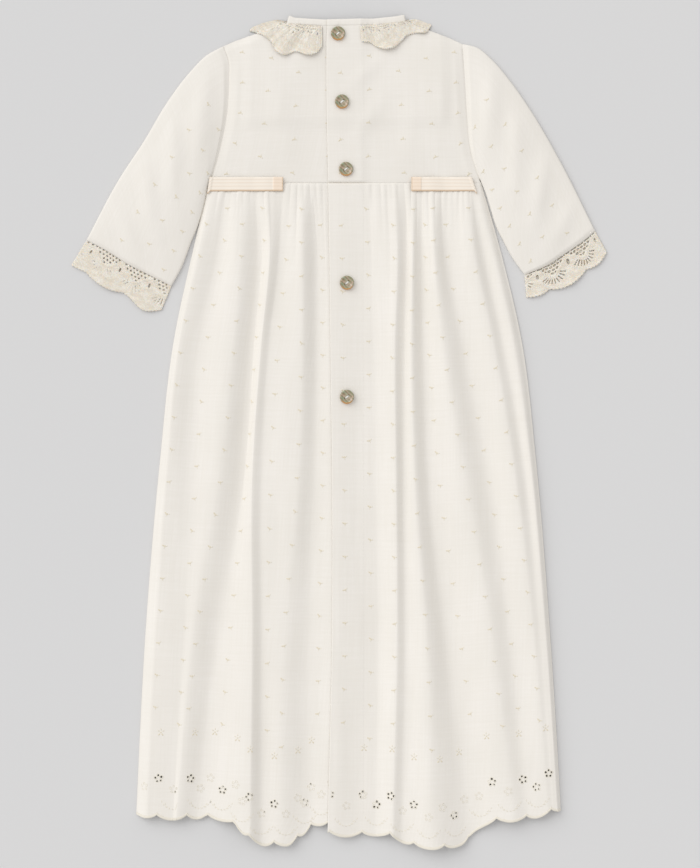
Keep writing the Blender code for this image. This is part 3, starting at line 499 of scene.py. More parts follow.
class Sheet:
    # Cloth ruled by fold lines: smooth along each line, and a cubic from one line to the next.
    # u runs across the fold lines and v from the seam to the free edge.
    def __init__(self, spec):
        self.spec = spec
        folds = spec["folds"]
        self.lineX = np.array([f["x"] for f in folds], float).T
        self.lineLift = np.array([f["lift"] for f in folds], float).T
        self.ends = np.array([f["end"] for f in folds], float)
        self.crest = np.array([f["crest"] for f in folds], float)
        middle = len(spec["stations"]) // 2
        span = np.hypot(np.diff(self.lineX[middle]), np.diff(self.lineLift[middle]))
        self.first = np.concatenate([[0], np.cumsum(span)]) / span.sum()
        self.start = spec["start"]
        if "hemLine" in spec:
            self.hemX, self.ends = np.array(spec["hemLine"], float).T
        self.long = abs(self.ends.mean() - self.start)

    def between(self, u):
        # Which two fold lines a share across lies between, and how far from the first
        k = np.clip(np.searchsorted(self.first, u, side="right") - 1, 0, len(self.first) - 2)
        return k, (u - self.first[k]) / (self.first[k + 1] - self.first[k])

    def rule(self, values, u, v, rounded=False):
        # Straight between two fold lines, or a cubic that is flat on each line where its crest is 0
        at = through(self.spec["stations"], values, v)
        k, t = self.between(u)
        row = np.arange(len(u))
        if rounded:
            a, b = self.crest[k], self.crest[k + 1]
            t = (a + b - 2) * t ** 3 + (3 - 2 * a - b) * t ** 2 + a * t
        return at[row, k] * (1 - t) + at[row, k + 1] * t

    def scallopPhase(self, u):
        # Whole numbers at the hem's notches
        at = self.rule(self.lineX, u, np.ones_like(u))
        return np.interp(at, self.spec["notches"], np.arange(len(self.spec["notches"])))

    def plan(self, u, v):
        if "hemLine" in self.spec:
            end = through(self.hemX, self.ends, self.rule(self.lineX, u, np.ones_like(u)))
        else:
            k, t = self.between(u)
            end = self.ends[k] * (1 - t) + self.ends[k + 1] * t
        if "notches" in self.spec:
            lobe = np.abs(np.sin(pi * self.scallopPhase(u))) ** hem["round"]
            end = end - hem["deep"] * ramp(v, hem["from"], 1) * lobe
        return self.rule(self.lineX, u, v), self.start + v * (end - self.start)

    def gathers(self, u, down):
        # Ridges from the waist seam with sharp valleys, each with its own height and reach: small ones that
        # fade out soon, and wide ones that swell below them
        rule, most = gatherRule, gatherRule["most"]
        waist = self.rule(self.lineX, u, np.zeros_like(u))
        total = np.zeros_like(u)
        for kind, seed in zip(gatherKinds, self.spec["gatherSeeds"]):
            rng = np.random.default_rng(seed)
            height, reach = rng.uniform(*kind["heights"], most), rng.uniform(*kind["reaches"], most)
            drift = rule["drift"] * ripple(waist, 0 * waist, rule["driftCell"] * kind["spacing"], 1, seed)
            phase = (waist - self.lineX[0, 0]) / kind["spacing"] + drift + 3
            n = np.clip(np.floor(phase).astype(int), 0, most - 1)
            sharp = rule["sharp"] + rule["softer"] * ramp(down, *rule["softens"])
            wave = np.abs(np.sin(pi * phase)) ** sharp
            total += height[n] * wave * ramp(down, *kind["swells"]) * np.exp(-down / reach[n])
        return (total * ramp(np.abs(waist - self.spec["side"]), *rule["sideFade"])
                * ramp(np.abs(waist - rule["standX"]), *rule["stand"]))

    def __call__(self, u, v):
        # Points of the upper face
        spec = self.spec
        x, y = self.plan(u, v)
        down = np.abs(y - self.start)
        lift = self.rule(self.lineLift, u, v, rounded=True) + creaseHeight(spec.get("creases", ()), x, y)
        if "gatherSeeds" in spec:
            lift = lift + self.gathers(u, down)
        for cellX, cellY, high, seed in spec.get("ripples", ()):
            calm = ramp(np.minimum(np.abs(u), np.abs(1 - u)) * spec["wide"], *edgeCalm)
            lift = lift + high * calm * ripple(x, y, cellX, cellY, seed)
        z = lift + cloth["cadWall"] + collarRise(x, y)
        for side, reach, level in spec.get("settles", ()):
            away = np.abs(u - side) * spec["wide"]
            z = level + (z - level) * ramp(away, -0.15 * reach, reach)
        dip, reach = spec["seamDip"]
        z = dip + (z - dip) * ramp(down, -0.2 * reach, reach)
        if "shoulder" in spec:
            # Beside the neck the cloth comes down to the shoulder seam
            low = spec["shoulder"] + collarRise(x, y)
            mask = ramp(np.abs(x - neck["x"]), 50, 60) * (1 - ramp((1 - v) * self.long, -1, 7))
            z = z + (np.minimum(low, z) - z) * mask
        return np.stack([x, y, z], axis=1)


def foldLine(x, lift, end=0.0, crest=0.0):
    return {"x": x, "lift": lift, "end": end, "crest": crest}


skirtStations = (0.0, 0.10, 0.25, 0.45, 0.70, 1.0)
bodiceStations = (0.0, 0.25, 0.5, 0.75, 0.9, 1.0)
bodiceStart = cloth["waistY"] + cloth["seam"] / 2
# Uneven cloth between the folds: cell along x and y, height, seed
skirtRipples = ((17, 95, 0.5, 21), (8, 42, 0.16, 22))
bodiceRipples = ((26, 48, 0.35, 31), (9, 24, 0.12, 32))

# One fold line a row: x and height of the cloth's underside at the stations, then y of its end where no
# hem line gives it, and how much of the straight slope it keeps at its crest
skirtLeftSpec = {
    "stations": skirtStations, "start": cloth["waistY"] + 0.5, "wide": 235.0,
    "notches": (-214, -189, -164, -137, -119, -94.5, -81, -58.7, -37.5, -25.4, -8, 14, 36),
    "side": -117.6, "openFlowers": 0.3, "gatherSeeds": (11, 12), "ripples": skirtRipples,
    "settles": ((0.0, 5.0, cloth["tuckedTop"]),), "seamDip": (2.45, 2.0),
    "hemLine": ((-183, -342), (-165, -345), (-137, -345.5), (-118, -345.3), (-104, -347), (-94, -351),
                (-81, -362), (-68, -369), (-53, -369), (-43, -368), (-34, -361), (-25.4, -354), (-10.5, -350),
                (20.5, -352)),
    "folds": (
        foldLine((-117.6, -130.8, -149, -162, -174, -183), (1.5, 1.5, 1.5, 1.5, 1.5, 1.5)),
        foldLine((-113.6, -125, -143, -154, -164, -172), (1.8, 5.0, 6.0, 6.5, 7.0, 7.0)),
        foldLine((-101, -107, -124, -133, -140, -150), (1.8, 2.5, 3.0, 4.5, 6.5, 6.0)),
        foldLine((-89, -90, -96, -108, -130, -146), (1.8, 8.0, 9.0, 9.0, 8.0, 7.5)),
        foldLine((-74, -70, -77, -85, -107, -127), (1.8, 2.2, 2.2, 2.5, 2.5, 2.5)),
        foldLine((-64, -62, -70, -78, -78, -80), (1.8, 8.0, 8.5, 8.5, 10.5, 12.0), crest=0.5),
        foldLine((-46, -51, -62, -69, -69, -69), (1.8, 3.0, 5.0, 5.0, 5.5, 5.5)),
        foldLine((-34, -34, -34, -38, -50, -53), (1.8, 7.5, 8.0, 7.5, 7.0, 7.0)),
        foldLine((-26, -21, -20, -21, -27, -28), (1.8, 2.2, 2.2, 2.5, 2.5, 2.5)),
        foldLine((-10, -9, -8, -6.5, -6.5, -10.5), (1.8, 3.4, 4.2, 4.7, 5.2, 5.2), crest=0.6),
        foldLine((18, 21, 22, 23, 24, 20.5), (1.6, 1.6, 1.6, 1.6, 1.7, 1.7), crest=0.6),
    ),
}
skirtRightSpec = {
    "stations": skirtStations, "start": cloth["waistY"] + 0.5, "wide": 250.0,
    "notches": (-32, -9, 20.5, 45.5, 67, 94.6, 116.5, 141.3, 168.4, 190.6, 214),
    "side": 127.8, "openFlowers": 0.6, "gatherSeeds": (15, 16), "ripples": skirtRipples,
    "settles": ((1.0, 5.0, cloth["tuckedTop"]),), "seamDip": (2.8, 2.0),
    "hemLine": ((-10.5, -360), (5, -361), (20.5, -361), (37, -360.5), (45.5, -361.5), (67, -370), (80, -371),
                (94.6, -372), (105, -370), (116, -366), (122, -358), (141, -348.5), (155, -347),
                (168.4, -346), (190.6, -340), (199.6, -338)),
    "folds": (
        foldLine((-10, -9, -8, -6.5, -6.5, -10.5), (3.6, 5.2, 6.0, 6.5, 7.0, 7.0), crest=0.6),
        foldLine((18, 21, 22, 23, 24, 20.5), (3.4, 3.4, 3.4, 3.4, 3.5, 3.5), crest=0.6),
        foldLine((30, 32, 33, 33, 35, 32), (1.8, 3.0, 3.0, 3.0, 3.0, 3.2), crest=0.4),
        foldLine((48, 52, 50, 51, 52, 48), (1.8, 8.5, 10.0, 10.5, 10.0, 9.0), crest=0.5),
        foldLine((57, 60, 58, 58, 60, 57), (1.8, 4.0, 5.0, 5.5, 6.0, 6.0)),
        foldLine((67, 66, 65, 68, 78, 84), (1.8, 8.0, 9.0, 9.5, 11.0, 12.0)),
        foldLine((74.5, 74.5, 76, 81, 98, 120), (1.8, 2.2, 2.2, 2.2, 2.2, 2.5)),
        foldLine((84, 85, 93, 111, 135, 156), (1.8, 8.5, 9.5, 9.5, 9.5, 9.0)),
        foldLine((96, 97, 112, 133, 153, 170), (1.8, 2.3, 2.5, 2.8, 4.5, 6.5)),
        foldLine((116, 120, 137, 156, 173, 187), (1.8, 7.5, 8.5, 9.0, 8.0, 7.5)),
        foldLine((120.5, 129, 147, 166, 180, 192.5), (1.8, 3.0, 4.0, 5.0, 6.5, 6.5)),
        foldLine((124, 137, 156, 172, 184.5, 196), (1.7, 5.0, 6.0, 6.5, 6.5, 6.0)),
        foldLine((127.8, 144, 164, 177.5, 189, 199.6), (1.5, 1.5, 1.5, 1.5, 1.5, 1.5)),
    ),
}
flatLift = (cloth["frontTop"] - cloth["cadWall"],) * 6
skirtFrontSpec = {
    "stations": skirtStations, "start": cloth["waistY"] - 0.15, "wide": 380.0,
    "notches": tuple(range(-211, 230, 22)), "seamDip": (cloth["frontTop"], 1.0),
    "folds": (
        foldLine(skirtLeftSpec["folds"][0]["x"], flatLift, -342),
        foldLine((6, 6, 7, 8, 9, 9), flatLift, -344, 1.0),
        foldLine(skirtRightSpec["folds"][-1]["x"], flatLift, -333),
    ),
}
bodiceLeftSpec = {
    "stations": bodiceStations, "start": bodiceStart, "wide": 135.0,
    "ripples": bodiceRipples,
    "settles": ((0.0, 2.0, 2.1),), "seamDip": (2.55, 1.8), "shoulder": 1.5,
    "creases": ((-62, 330, -44, 240, 12, 0.8), (-88, 300, -70, 250, 9, 0.5)),
    "folds": (
        foldLine((-116.5, -107.9, -101.5, -99.4, -99.9, -104.4), (1.5,) * 6, 346.2),
        foldLine((-108, -98, -92, -90.5, -91, -94), (1.8, 3.0, 3.2, 3.2, 2.6, 1.7), 351),
        foldLine((-64, -60, -57, -52, -50, -48), (1.8, 3.4, 3.6, 3.2, 2.2, 1.9), 366.3),
        foldLine((-10, -10.8, -11.4, -11.6, -11.5, -10.8), (1.8, 2.1, 2.2, 2.3, 2.3, 2.3), 364, 0.6),
        foldLine((18, 18, 18.5, 19, 19, 19), (1.6, 1.8, 1.9, 2.0, 2.0, 2.0), 364.8, 0.6),
    ),
}
bodiceRightSpec = {
    "stations": bodiceStations, "start": bodiceStart, "wide": 140.0,
    "ripples": bodiceRipples,
    "settles": ((1.0, 2.0, 2.1),), "seamDip": (2.9, 1.8), "shoulder": 1.5,
    "creases": ((42, 338, 10, 310, 7, 0.8), (42, 302, 14, 262, 8, 0.9), (98, 330, 84, 244, 12, 0.8),
                (70, 300, 60, 240, 10, 0.5)),
    "folds": (
        foldLine((-10, -10.8, -11.4, -11.6, -11.5, -10.8), (3.6, 3.9, 4.0, 4.1, 4.1, 4.1), 364, 0.6),
        foldLine((18, 18, 18.5, 19, 19, 19), (3.4, 3.6, 3.7, 3.8, 3.8, 3.8), 364.8, 0.6),
        foldLine((30, 30, 31, 31, 31, 31), (1.8, 2.8, 3.0, 2.8, 2.2, 2.0), 365),
        foldLine((72, 70, 67, 63, 61, 60), (1.8, 3.4, 3.6, 3.2, 2.2, 1.9), 368),
        foldLine((119, 109, 106, 104, 103, 101), (1.8, 3.0, 3.2, 3.2, 2.6, 1.7), 353),
        foldLine((127.2, 118.4, 115.3, 113.2, 111.6, 110.6), (1.5,) * 6, 348.4),
    ),
}
neck = {"x": 6.0, "y": 366.5, "wide": 108.0, "deep": 41.0, "turns": 28, "waistX": -57, "waistWide": 124}


def frontBodiceSpec():
    # Fold lines run from the waist to points round the front neckline, a half ellipse
    folds = [foldLine(bodiceLeftSpec["folds"][0]["x"], flatLift, 346.2)]
    for share in np.linspace(0, 1, neck["turns"] + 1):
        x = neck["x"] - neck["wide"] / 2 * np.cos(pi * share)
        waist = neck["waistX"] + neck["waistWide"] * share
        path = tuple(waist + (x - waist) * s for s in bodiceStations)
        folds.append(foldLine(path, flatLift, neck["y"] - neck["deep"] * np.sin(pi * share), 1.0))
    folds.append(foldLine(bodiceRightSpec["folds"][-1]["x"], flatLift, 348.4))
    return {"stations": bodiceStations, "start": bodiceStart, "wide": 240.0, "folds": folds,
            "seamDip": (cloth["frontTop"], 1.0)}


def columns(sheet, cell):
    # Shares across that keep the squares within cell mm at four heights, and finer by the free edges
    u = np.linspace(0, 1, 2001)
    rows = [sheet(u, np.full_like(u, v)) for v in (0.12, 0.35, 0.7, 0.95)]
    wide = np.max([np.linalg.norm(np.diff(row, axis=0), axis=1) for row in rows], axis=0)
    run = np.concatenate([[0], np.cumsum(wide)])
    near = np.array((0.25, 0.55, 0.95, 1.6))
    at = np.concatenate([np.linspace(0, run[-1], int(run[-1] / cell)), near, run[-1] - near])
    return np.interp(np.sort(at), run, u)


lap = {"drop": 0.75, "round": 1.1}


def foldedEdge(sheet):
    # The lapped edge is a folded one, so its upper face rounds down over the last millimetre
    def shape(u, v):
        points = sheet(u, v)
        fromFold = 1 - np.clip(u * sheet.spec["wide"] / lap["round"], 0, 1)
        points[:, 2] -= lap["drop"] * (1 - np.sqrt(np.clip(1 - fromFold ** 2, 0, 1)))
        return points
    return shape


skirtLeft, skirtRight = Sheet(skirtLeftSpec), Sheet(skirtRightSpec)
bodiceLeft, bodiceRight = Sheet(bodiceLeftSpec), Sheet(bodiceRightSpec)
# Each back piece's sheet and the shape of its upper face
skirtBacks = {"skirt_back_left": (skirtLeft, skirtLeft),
              "skirt_back_right": (skirtRight, foldedEdge(skirtRight))}
bodiceBacks = {"bodice_back_left": (bodiceLeft, bodiceLeft),
               "bodice_back_right": (bodiceRight, foldedEdge(bodiceRight))}


def flowerPlaces(sheet):
    # Two eyelet flowers a scallop: a low one over the lobe's middle and a high one over the notch
    u = np.linspace(0.004, 0.996, 1500)
    phase = sheet.scallopPhase(u)
    halves = np.arange(np.ceil(2 * phase[0]), 2 * phase[-1]) / 2
    rise = np.where(halves % 1 == 0, hem["highRise"], hem["lowRise"])
    return np.stack([np.interp(halves, phase, u), 1 - rise / sheet.long], axis=1)


def eyeletPlaces(sheet):
    # Five holes round each flower, and their radii: some flowers are pierced wide, others nearly closed
    flowers = flowerPlaces(sheet)
    rng = np.random.default_rng(hem["seed"])
    turn = pi / 2 + 2 * pi * np.arange(5) / 5 + rng.uniform(-hem["tilt"], hem["tilt"], (len(flowers), 1))
    wide = rng.uniform(0, 1, (len(flowers), 1)) < sheet.spec["openFlowers"]
    radius = np.where(wide, hem["hole"], hem["small"]) * rng.uniform(*hem["sizes"], turn.shape)
    u, v = stepped(sheet, flowers, hem["ring"] * np.cos(turn), -hem["ring"] * np.sin(turn))
    inside = (u > 0.008) & (u < 0.992)
    return np.stack([u[inside], v[inside]], axis=1), radius.ravel()[inside]


def eyeletGap(sheet, places, radii):
    # Distance to the nearest eyelet's edge
    holes = sheet(*places.T)

    def keep(u, v):
        gap = np.full(len(u), 9.0)
        near = np.flatnonzero(v > places[:, 1].min() - 0.01)
        away = np.linalg.norm(sheet(u[near], v[near])[:, None] - holes, axis=2)
        gap[near] = (away - radii).min(axis=1)
        return gap
    return keep


skirtGrid = {"long": 585.0, "cell": 1.1, "seam": 4, "gathers": 60, "border": 44}
bodiceGrid = {"long": 142.0, "cell": 1.15}


def skirtRows():
    # Fine at the seam, under the gathers and in the eyelet border
    seam, gathers, border = [skirtGrid[part] / skirtGrid["long"] for part in ("seam", "gathers", "border")]
    return lines((0, seam, 6), (seam, gathers, 30), (gathers, 1 - border, 62), (1 - border, 1, 38))


pieces = {}


def keepPiece(name, made, flat=None, nodes=()):
    # Puts a piece on the frame's body and notes its cut
    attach(made, "root")
    if nodes:
        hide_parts(*nodes)
    pieces[name] = (made, flat)


def clothPiece(node, kind, slot, *grid, **more):
    # A piece of cloth that stands for a node of its own
    made, flat = gridPiece(f"{node}_{kind}", *grid, **more)
    keepPiece(node, made, flat, [node])


def buildSkirt():
    for name, (sheet, shape) in skirtBacks.items():
        holes, radii = eyeletPlaces(sheet)
        clothPiece(name, "cloth", "batiste", shape, columns(sheet, skirtGrid["cell"]), skirtRows(), batiste,
                   cloth["shell"], eyeletGap(sheet, holes, radii))
        rim = eyeletRim(hem["hole"], hem["rim"], hem["rimHigh"])
        rims = stitchOnto(f"{name}_eyelet_rims", shape, holes, rim, [creamThread], 0.0, radii / hem["hole"])
        keepPiece(f"{name}_rims", rims)
    clothPiece("skirt_front", "cloth", "batiste", skirtFront, evenSteps(120),
               lines((0, 0.9, 40), (0.9, 1, 24)), batiste, cloth["frontTop"])


def buildBodice():
    rows = lines((0, 0.05, 8), (0.05, 0.92, 88), (0.92, 1, 14))
    for name, (sheet, shape) in bodiceBacks.items():
        clothPiece(name, "cloth", "batiste", shape, columns(sheet, bodiceGrid["cell"]), rows, batiste,
                   cloth["shell"])
    clothPiece("bodice_front", "cloth", "batiste", bodiceFront, evenSteps(120), evenSteps(40), batiste,
               cloth["frontTop"])


skirtFront, bodiceFront = Sheet(skirtFrontSpec), Sheet(frontBodiceSpec())
buildSkirt()
buildBodice()
print("skirt and bodice made")


# Sleeves and cuffs

sleeveLook = {"high": 5.5, "swells": (0.12, 0.92), "round": 0.7, "edge": 1.5, "seamTop": 1.7, "tuck": 1.4,
              "long": 190.0, "armholeDip": (-1, 5), "cuffDip": (-1, 4)}
wrinkles = ((0.5, 24, 34, 41), (0.2, 9, 13, 42))  # height, cell along x and y, seed
sleeveLeftSpec = {
    "armhole": bodiceLeftSpec["folds"][0], "side": -1,
    "creases": ((-121, 322, -128, 240, 9, 2.0), (-150, 282, -150, 205, 8, 1.8),
                (-178, 245, -166, 176, 8, 1.6), (-205, 205, -180, 158, 7, 1.2)),
    "outer": ((-119.9, 337.9), (-133.4, 324.4), (-154.1, 297.4), (-175.7, 261.4), (-199.1, 225.5)),
    "inner": ((-119.6, 214.7), (-122.9, 200.2), (-127.3, 185.0), (-132.8, 171.5), (-143.3, 144.5)),
    "cuff": ((-227.9, 171.5), (-208.0, 160.7), (-193.7, 151.5), (-172.0, 140.3), (-151.4, 130.1)),
    "lace": ((-241.9, 148.5), (-226.0, 137.5), (-207.0, 126.0), (-192.0, 119.5), (-175.0, 107.5),
             (-160.8, 107.5)),
    "notches": (-0.3, 0.15, 0.57, 1.1), "notchDeep": 2.8, "cloth": {"seed": 51, "shift": 6.0, "open": 0.7},
}
sleeveRightSpec = {
    "armhole": bodiceRightSpec["folds"][-1], "side": 1,
    "creases": ((138, 332, 134, 250, 9, 2.2), (160, 288, 158, 210, 8, 1.8), (187, 252, 175, 180, 8, 1.6),
                (212, 208, 192, 166, 7, 1.2)),
    "outer": ((124.0, 345.2), (138.4, 333.4), (153.7, 315.4), (172.6, 288.4), (198.7, 243.5)),
    "inner": ((132.0, 213.8), (136.2, 200.2), (141.6, 183.2), (147.4, 171.5), (157.3, 153.5)),
    "cuff": ((230.8, 179.6), (221.2, 171.5), (200.5, 157.1), (189.7, 149.9), (167.2, 140.2)),
    "lace": ((241.6, 160.0), (233.0, 148.0), (216.0, 135.5), (203.0, 128.0), (187.0, 122.0), (169.0, 119.3)),
    "notches": (-0.15, 0.294, 0.737, 1.12), "notchDeep": 4.4,
    "cloth": {"seed": 54, "shift": 11.0, "open": 1.0},
}
sleeveSpecs = {"left": sleeveLeftSpec, "right": sleeveRightSpec}


def sleeveShape(spec):
    # Flattened tube: a patch between its four edges carries a section that is flat below and domed above.
    # u goes once round from the outer edge over the top, v from the armhole to the cuff.
    share = np.array((1.0, 0.97, 0.9, 0.75, 0.5, 0.25, 0.03))
    line = spec["armhole"]
    x = through(bodiceStations, line["x"], share) + spec["side"] * 2 * cloth["seam"]
    armhole = tuple(zip(x, cloth["waistY"] + share * (line["end"] - cloth["waistY"])))
    cuff = spec["cuff"]
    outer = (armhole[0],) + spec["outer"] + (cuff[0],)
    inner = (armhole[-1],) + spec["inner"] + (cuff[-1],)

    def shape(u, v):
        angle = 2 * pi * u
        acrossTube, up = np.cos(angle), np.sin(angle)
        plan = coons(armhole, cuff, outer, inner, (1 - acrossTube) / 2, v)
        half = np.linalg.norm(along(outer, v) - along(inner, v), axis=1) / 2
        fromEdge = (1 - np.abs(acrossTube)) * half
        look = sleeveLook
        edge, low, (first, last) = look["edge"], look["seamTop"], look["swells"]
        curl = edge * (1 - np.sqrt(1 - np.clip(1 - fromEdge / edge, 0, 1) ** 2))
        section = (1 - acrossTube ** 2) ** look["round"]
        swell = look["high"] * np.sin(pi * (first + (last - first) * v)) * section
        crease = creaseHeight(spec["creases"], plan[:, 0], plan[:, 1])
        wrinkle = sum(high * ripple(plan[:, 0], plan[:, 1], *cells) for high, *cells in wrinkles)
        dome = (swell + (crease + wrinkle) * (1 - acrossTube ** 4)) * ramp(v, -0.15, 0.15)
        top = 2 * edge - curl + dome
        down = v * look["long"]
        seamed = ramp(down, *look["armholeDip"]) * ramp(look["long"] - down, *look["cuffDip"])
        top = np.where(up > 0, low + (top - low) * seamed, top)
        height = np.where(up > 1e-6, top, np.where(up < -1e-6, curl, edge))
        tuck = look["tuck"] * (1 - ramp(down, 0, 3)) * np.clip(up, 0, 1) ** 0.5
        return np.column_stack([plan[:, 0] - spec["side"] * tuck, plan[:, 1], height])
    return shape


def nearest(value, pitch):
    # How far a value is past the nearest whole number of pitches
    return (value / pitch + 0.5) % 1 * pitch - pitch / 2


def oval(p, q, long, wide, turn=0.0):
    # Distance in mm to an oval's edge, below nil inside it
    onward, aside = p * np.cos(turn) + q * np.sin(turn), q * np.cos(turn) - p * np.sin(turn)
    return (np.hypot(onward / long, aside / wide) - 1) * np.minimum(long, wide)


# Openings are half sizes along the seam and away from it; At is the distance from the seam
lacework = {"repeat": 30.0, "zigzagAt": 1.8, "netHalf": 13.5, "netDeep": 9.5, "netPitch": 3.6, "netRow": 2.9,
            "netAt": 2.2, "netHole": (1.4, 1.05), "leafAt": 7.5, "leafHole": (1.3, 2.4), "seamPitch": 2.4,
            "seamAt": 1.2, "seamHole": (0.6, 0.45), "fanFrom": 8.0, "fanHalf": 1.15, "slitTurn": 0.27,
            "slitFrom": 6.5, "slitTo": 12.0, "slitHalf": 0.34, "whole": 2.0, "picot": 2.8, "picotDeep": 0.9,
            "cordHigh": 0.35, "edgeCordHigh": 0.3, "ribHigh": 0.12}


def laceRun(a, b, spec):
    # The lace's own directions, drawn out of true by hand: a along the seam, b away from it, p from a
    # triangle's middle. The zigzag runs along the triangles' lower sides.
    a = a + spec["shift"] + 0.8 * ripple(a, b, 8, 8, spec["seed"])
    b = b + 0.6 * ripple(a, b, 6, 6, spec["seed"] + 1)
    p = nearest(a, lacework["repeat"])
    zigzag = lacework["zigzagAt"] + lacework["netDeep"] * (1 - np.abs(p) / lacework["netHalf"])
    return a, b, p, zigzag


def laceGap(a, b, ends, spec):
    # Distance in mm to the nearest opening's edge. A row of small openings by the seam, triangles of net
    # under it, leaves in the zigzag's bends, a fan of slits in each lobe, and none near the free edges.
    w, wide = lacework, spec["open"]
    a, b, p, zigzag = laceRun(a, b, spec)
    row = np.floor((b - w["netAt"]) / w["netRow"])

    def holes(across, down, size):
        return oval(across, down, size[0] * wide, size[1] * wide)
    net = holes(nearest(a + row % 2 * w["netPitch"] / 2, w["netPitch"]),
                b - w["netAt"] - w["netRow"] * (row + 0.5), w["netHole"])
    net = np.maximum(net, b + 0.5 - zigzag)
    leaf = holes(nearest(a - w["repeat"] / 2, w["repeat"]), b - w["leafAt"], w["leafHole"])
    small = holes(nearest(a, w["seamPitch"]), b - w["seamAt"], w["seamHole"]) + 0.9 * (1 - wide)
    turn, out = np.arctan2(p, b - w["fanFrom"]), np.hypot(p, b - w["fanFrom"])
    middle, half = (w["slitFrom"] + w["slitTo"]) / 2, (w["slitTo"] - w["slitFrom"]) / 2
    aside = np.abs(nearest(turn, w["slitTurn"])) * out - w["slitHalf"] * wide
    slit = np.maximum.reduce([aside, np.abs(out - middle) - half, (np.abs(turn) - w["fanHalf"]) * out])
    return np.maximum(np.minimum.reduce([net, leaf, small, slit]), w["whole"] - ends)


def laceHoles(long, deep, spec):
    # The gap for a piece of lace so many mm long and deep, from its shares
    def keep(u, v):
        ends = np.minimum((1 - v) * deep, np.minimum(u, 1 - u) * long)
        return laceGap(u * long, v * deep, ends, spec)
    return keep


def laceRelief(a, b, deep, spec):
    # Raised cords in mm: one along the zigzag, one inside the free edge, and the ribs between the fan's slits
    w = lacework
    a, b, p, zigzag = laceRun(a, b, spec)
    turn, out = np.arctan2(p, b - w["fanFrom"]), np.hypot(p, b - w["fanFrom"])
    fan = ramp(out, 4, 6) * ramp(out, 14, 12) * ramp(b, 8, 11)
    ribs = w["ribHigh"] * np.cos(2 * pi * turn / w["slitTurn"]) * fan
    cord = w["cordHigh"] * np.exp(-((b - zigzag - 1.2) / 1.1) ** 2)
    return cord - ribs + w["edgeCordHigh"] * np.exp(-((deep - b - 1.4) / 0.7) ** 2)


def lobed(u, v, notches, deep, long):
    # How far the free edge is drawn in, in mm: nil in the middle of a lobe, deep at a notch, with fine picots
    phase = np.interp(u, notches, np.arange(len(notches)))
    picot = lacework["picotDeep"] * (1 - np.abs(np.sin(pi * u * long / lacework["picot"])))
    return deep * (1 - np.abs(np.sin(pi * phase)) ** 0.8) * v ** 4 + picot * ramp(v, 0.93, 1)


cuffLace = {"cell": 0.52, "shell": 0.55, "deep": 27.0, "air": 0.6, "swell": 0.4, "lobe": 0.4, "crumple": 0.4,
            "least": 0.4, "tuck": 0.4, "seamRise": 0.4, "lowerShift": 12.0, "lowerOpen": 0.45}


def cuffShape(spec, upper):
    # One layer of the cuff: a patch from the seam to the lace's edge, lobed there, the upper one raised
    cuff, edge = spec["cuff"], spec["lace"]
    down = np.array(edge[0]) - np.array(cuff[0])
    down = down / np.linalg.norm(down)
    seam = tuple(tuple(np.array(p) - cuffLace["tuck"] * down) for p in cuff)
    long = np.linalg.norm(np.array(cuff[0]) - np.array(cuff[-1]))

    def shape(u, v):
        plan = coons(seam, edge, (seam[0], edge[0]), (seam[-1], edge[-1]), u, v)
        plan = plan - lobed(u, v, spec["notches"], spec["notchDeep"], long)[:, None] * down
        height = np.full_like(u, cuffLace["shell"])
        if upper:
            k = cuffLace
            phase = np.interp(u, spec["notches"], np.arange(len(spec["notches"])))
            lobe = k["lobe"] * (1 - np.cos(2 * pi * phase)) * v
            swell = k["swell"] * np.sin(pi * u) ** 0.6 * (1 - 0.4 * v)
            crumple = k["crumple"] * ripple(plan[:, 0], plan[:, 1], 7, 7, 53)
            rise = (swell + lobe + crumple + k["least"]) * np.sin(pi * np.clip(u, 0, 1)) ** 0.3
            height = height + k["air"] + rise * (0.35 + 0.65 * ramp(v, 0, 0.2))
            height = height + k["seamRise"] * (1 - ramp(v, 0, 0.15))
            height = height + laceRelief(u * long, v * k["deep"], k["deep"], spec["cloth"])
        return np.column_stack([plan, height])
    return shape


def buildSleeves():
    rows = lines((0, 0.04, 8), (0.04, 0.96, 84), (0.96, 1, 6))
    k = cuffLace
    for side, spec in sleeveSpecs.items():
        clothPiece(f"sleeve_{side}", "cloth", "batiste", sleeveShape(spec), evenSteps(104), rows, batiste,
                   cloth["shell"], closed=True)
        long, laid = np.linalg.norm(np.array(spec["cuff"][0]) - np.array(spec["cuff"][-1])), spec["cloth"]
        below = dict(laid, shift=laid["shift"] + k["lowerShift"], open=k["lowerOpen"])
        for layer, holes in (("lower", below), ("upper", laid)):
            clothPiece(f"cuff_lace_{side}_{layer}", "net", "lace", cuffShape(spec, layer == "upper"),
                       evenly(long, k["cell"]), evenly(k["deep"], k["cell"]), lace, k["shell"],
                       laceHoles(long, k["deep"], holes))


buildSleeves()
print("sleeves and cuffs made")


# Heights of the cloth below, for what lies on it

# In mm: the map's lowest corner and its size, then how many samples a sheet gets across and down
reliefMap = {"low": (-262, -402), "size": (525, 805), "samples": (420, 760)}


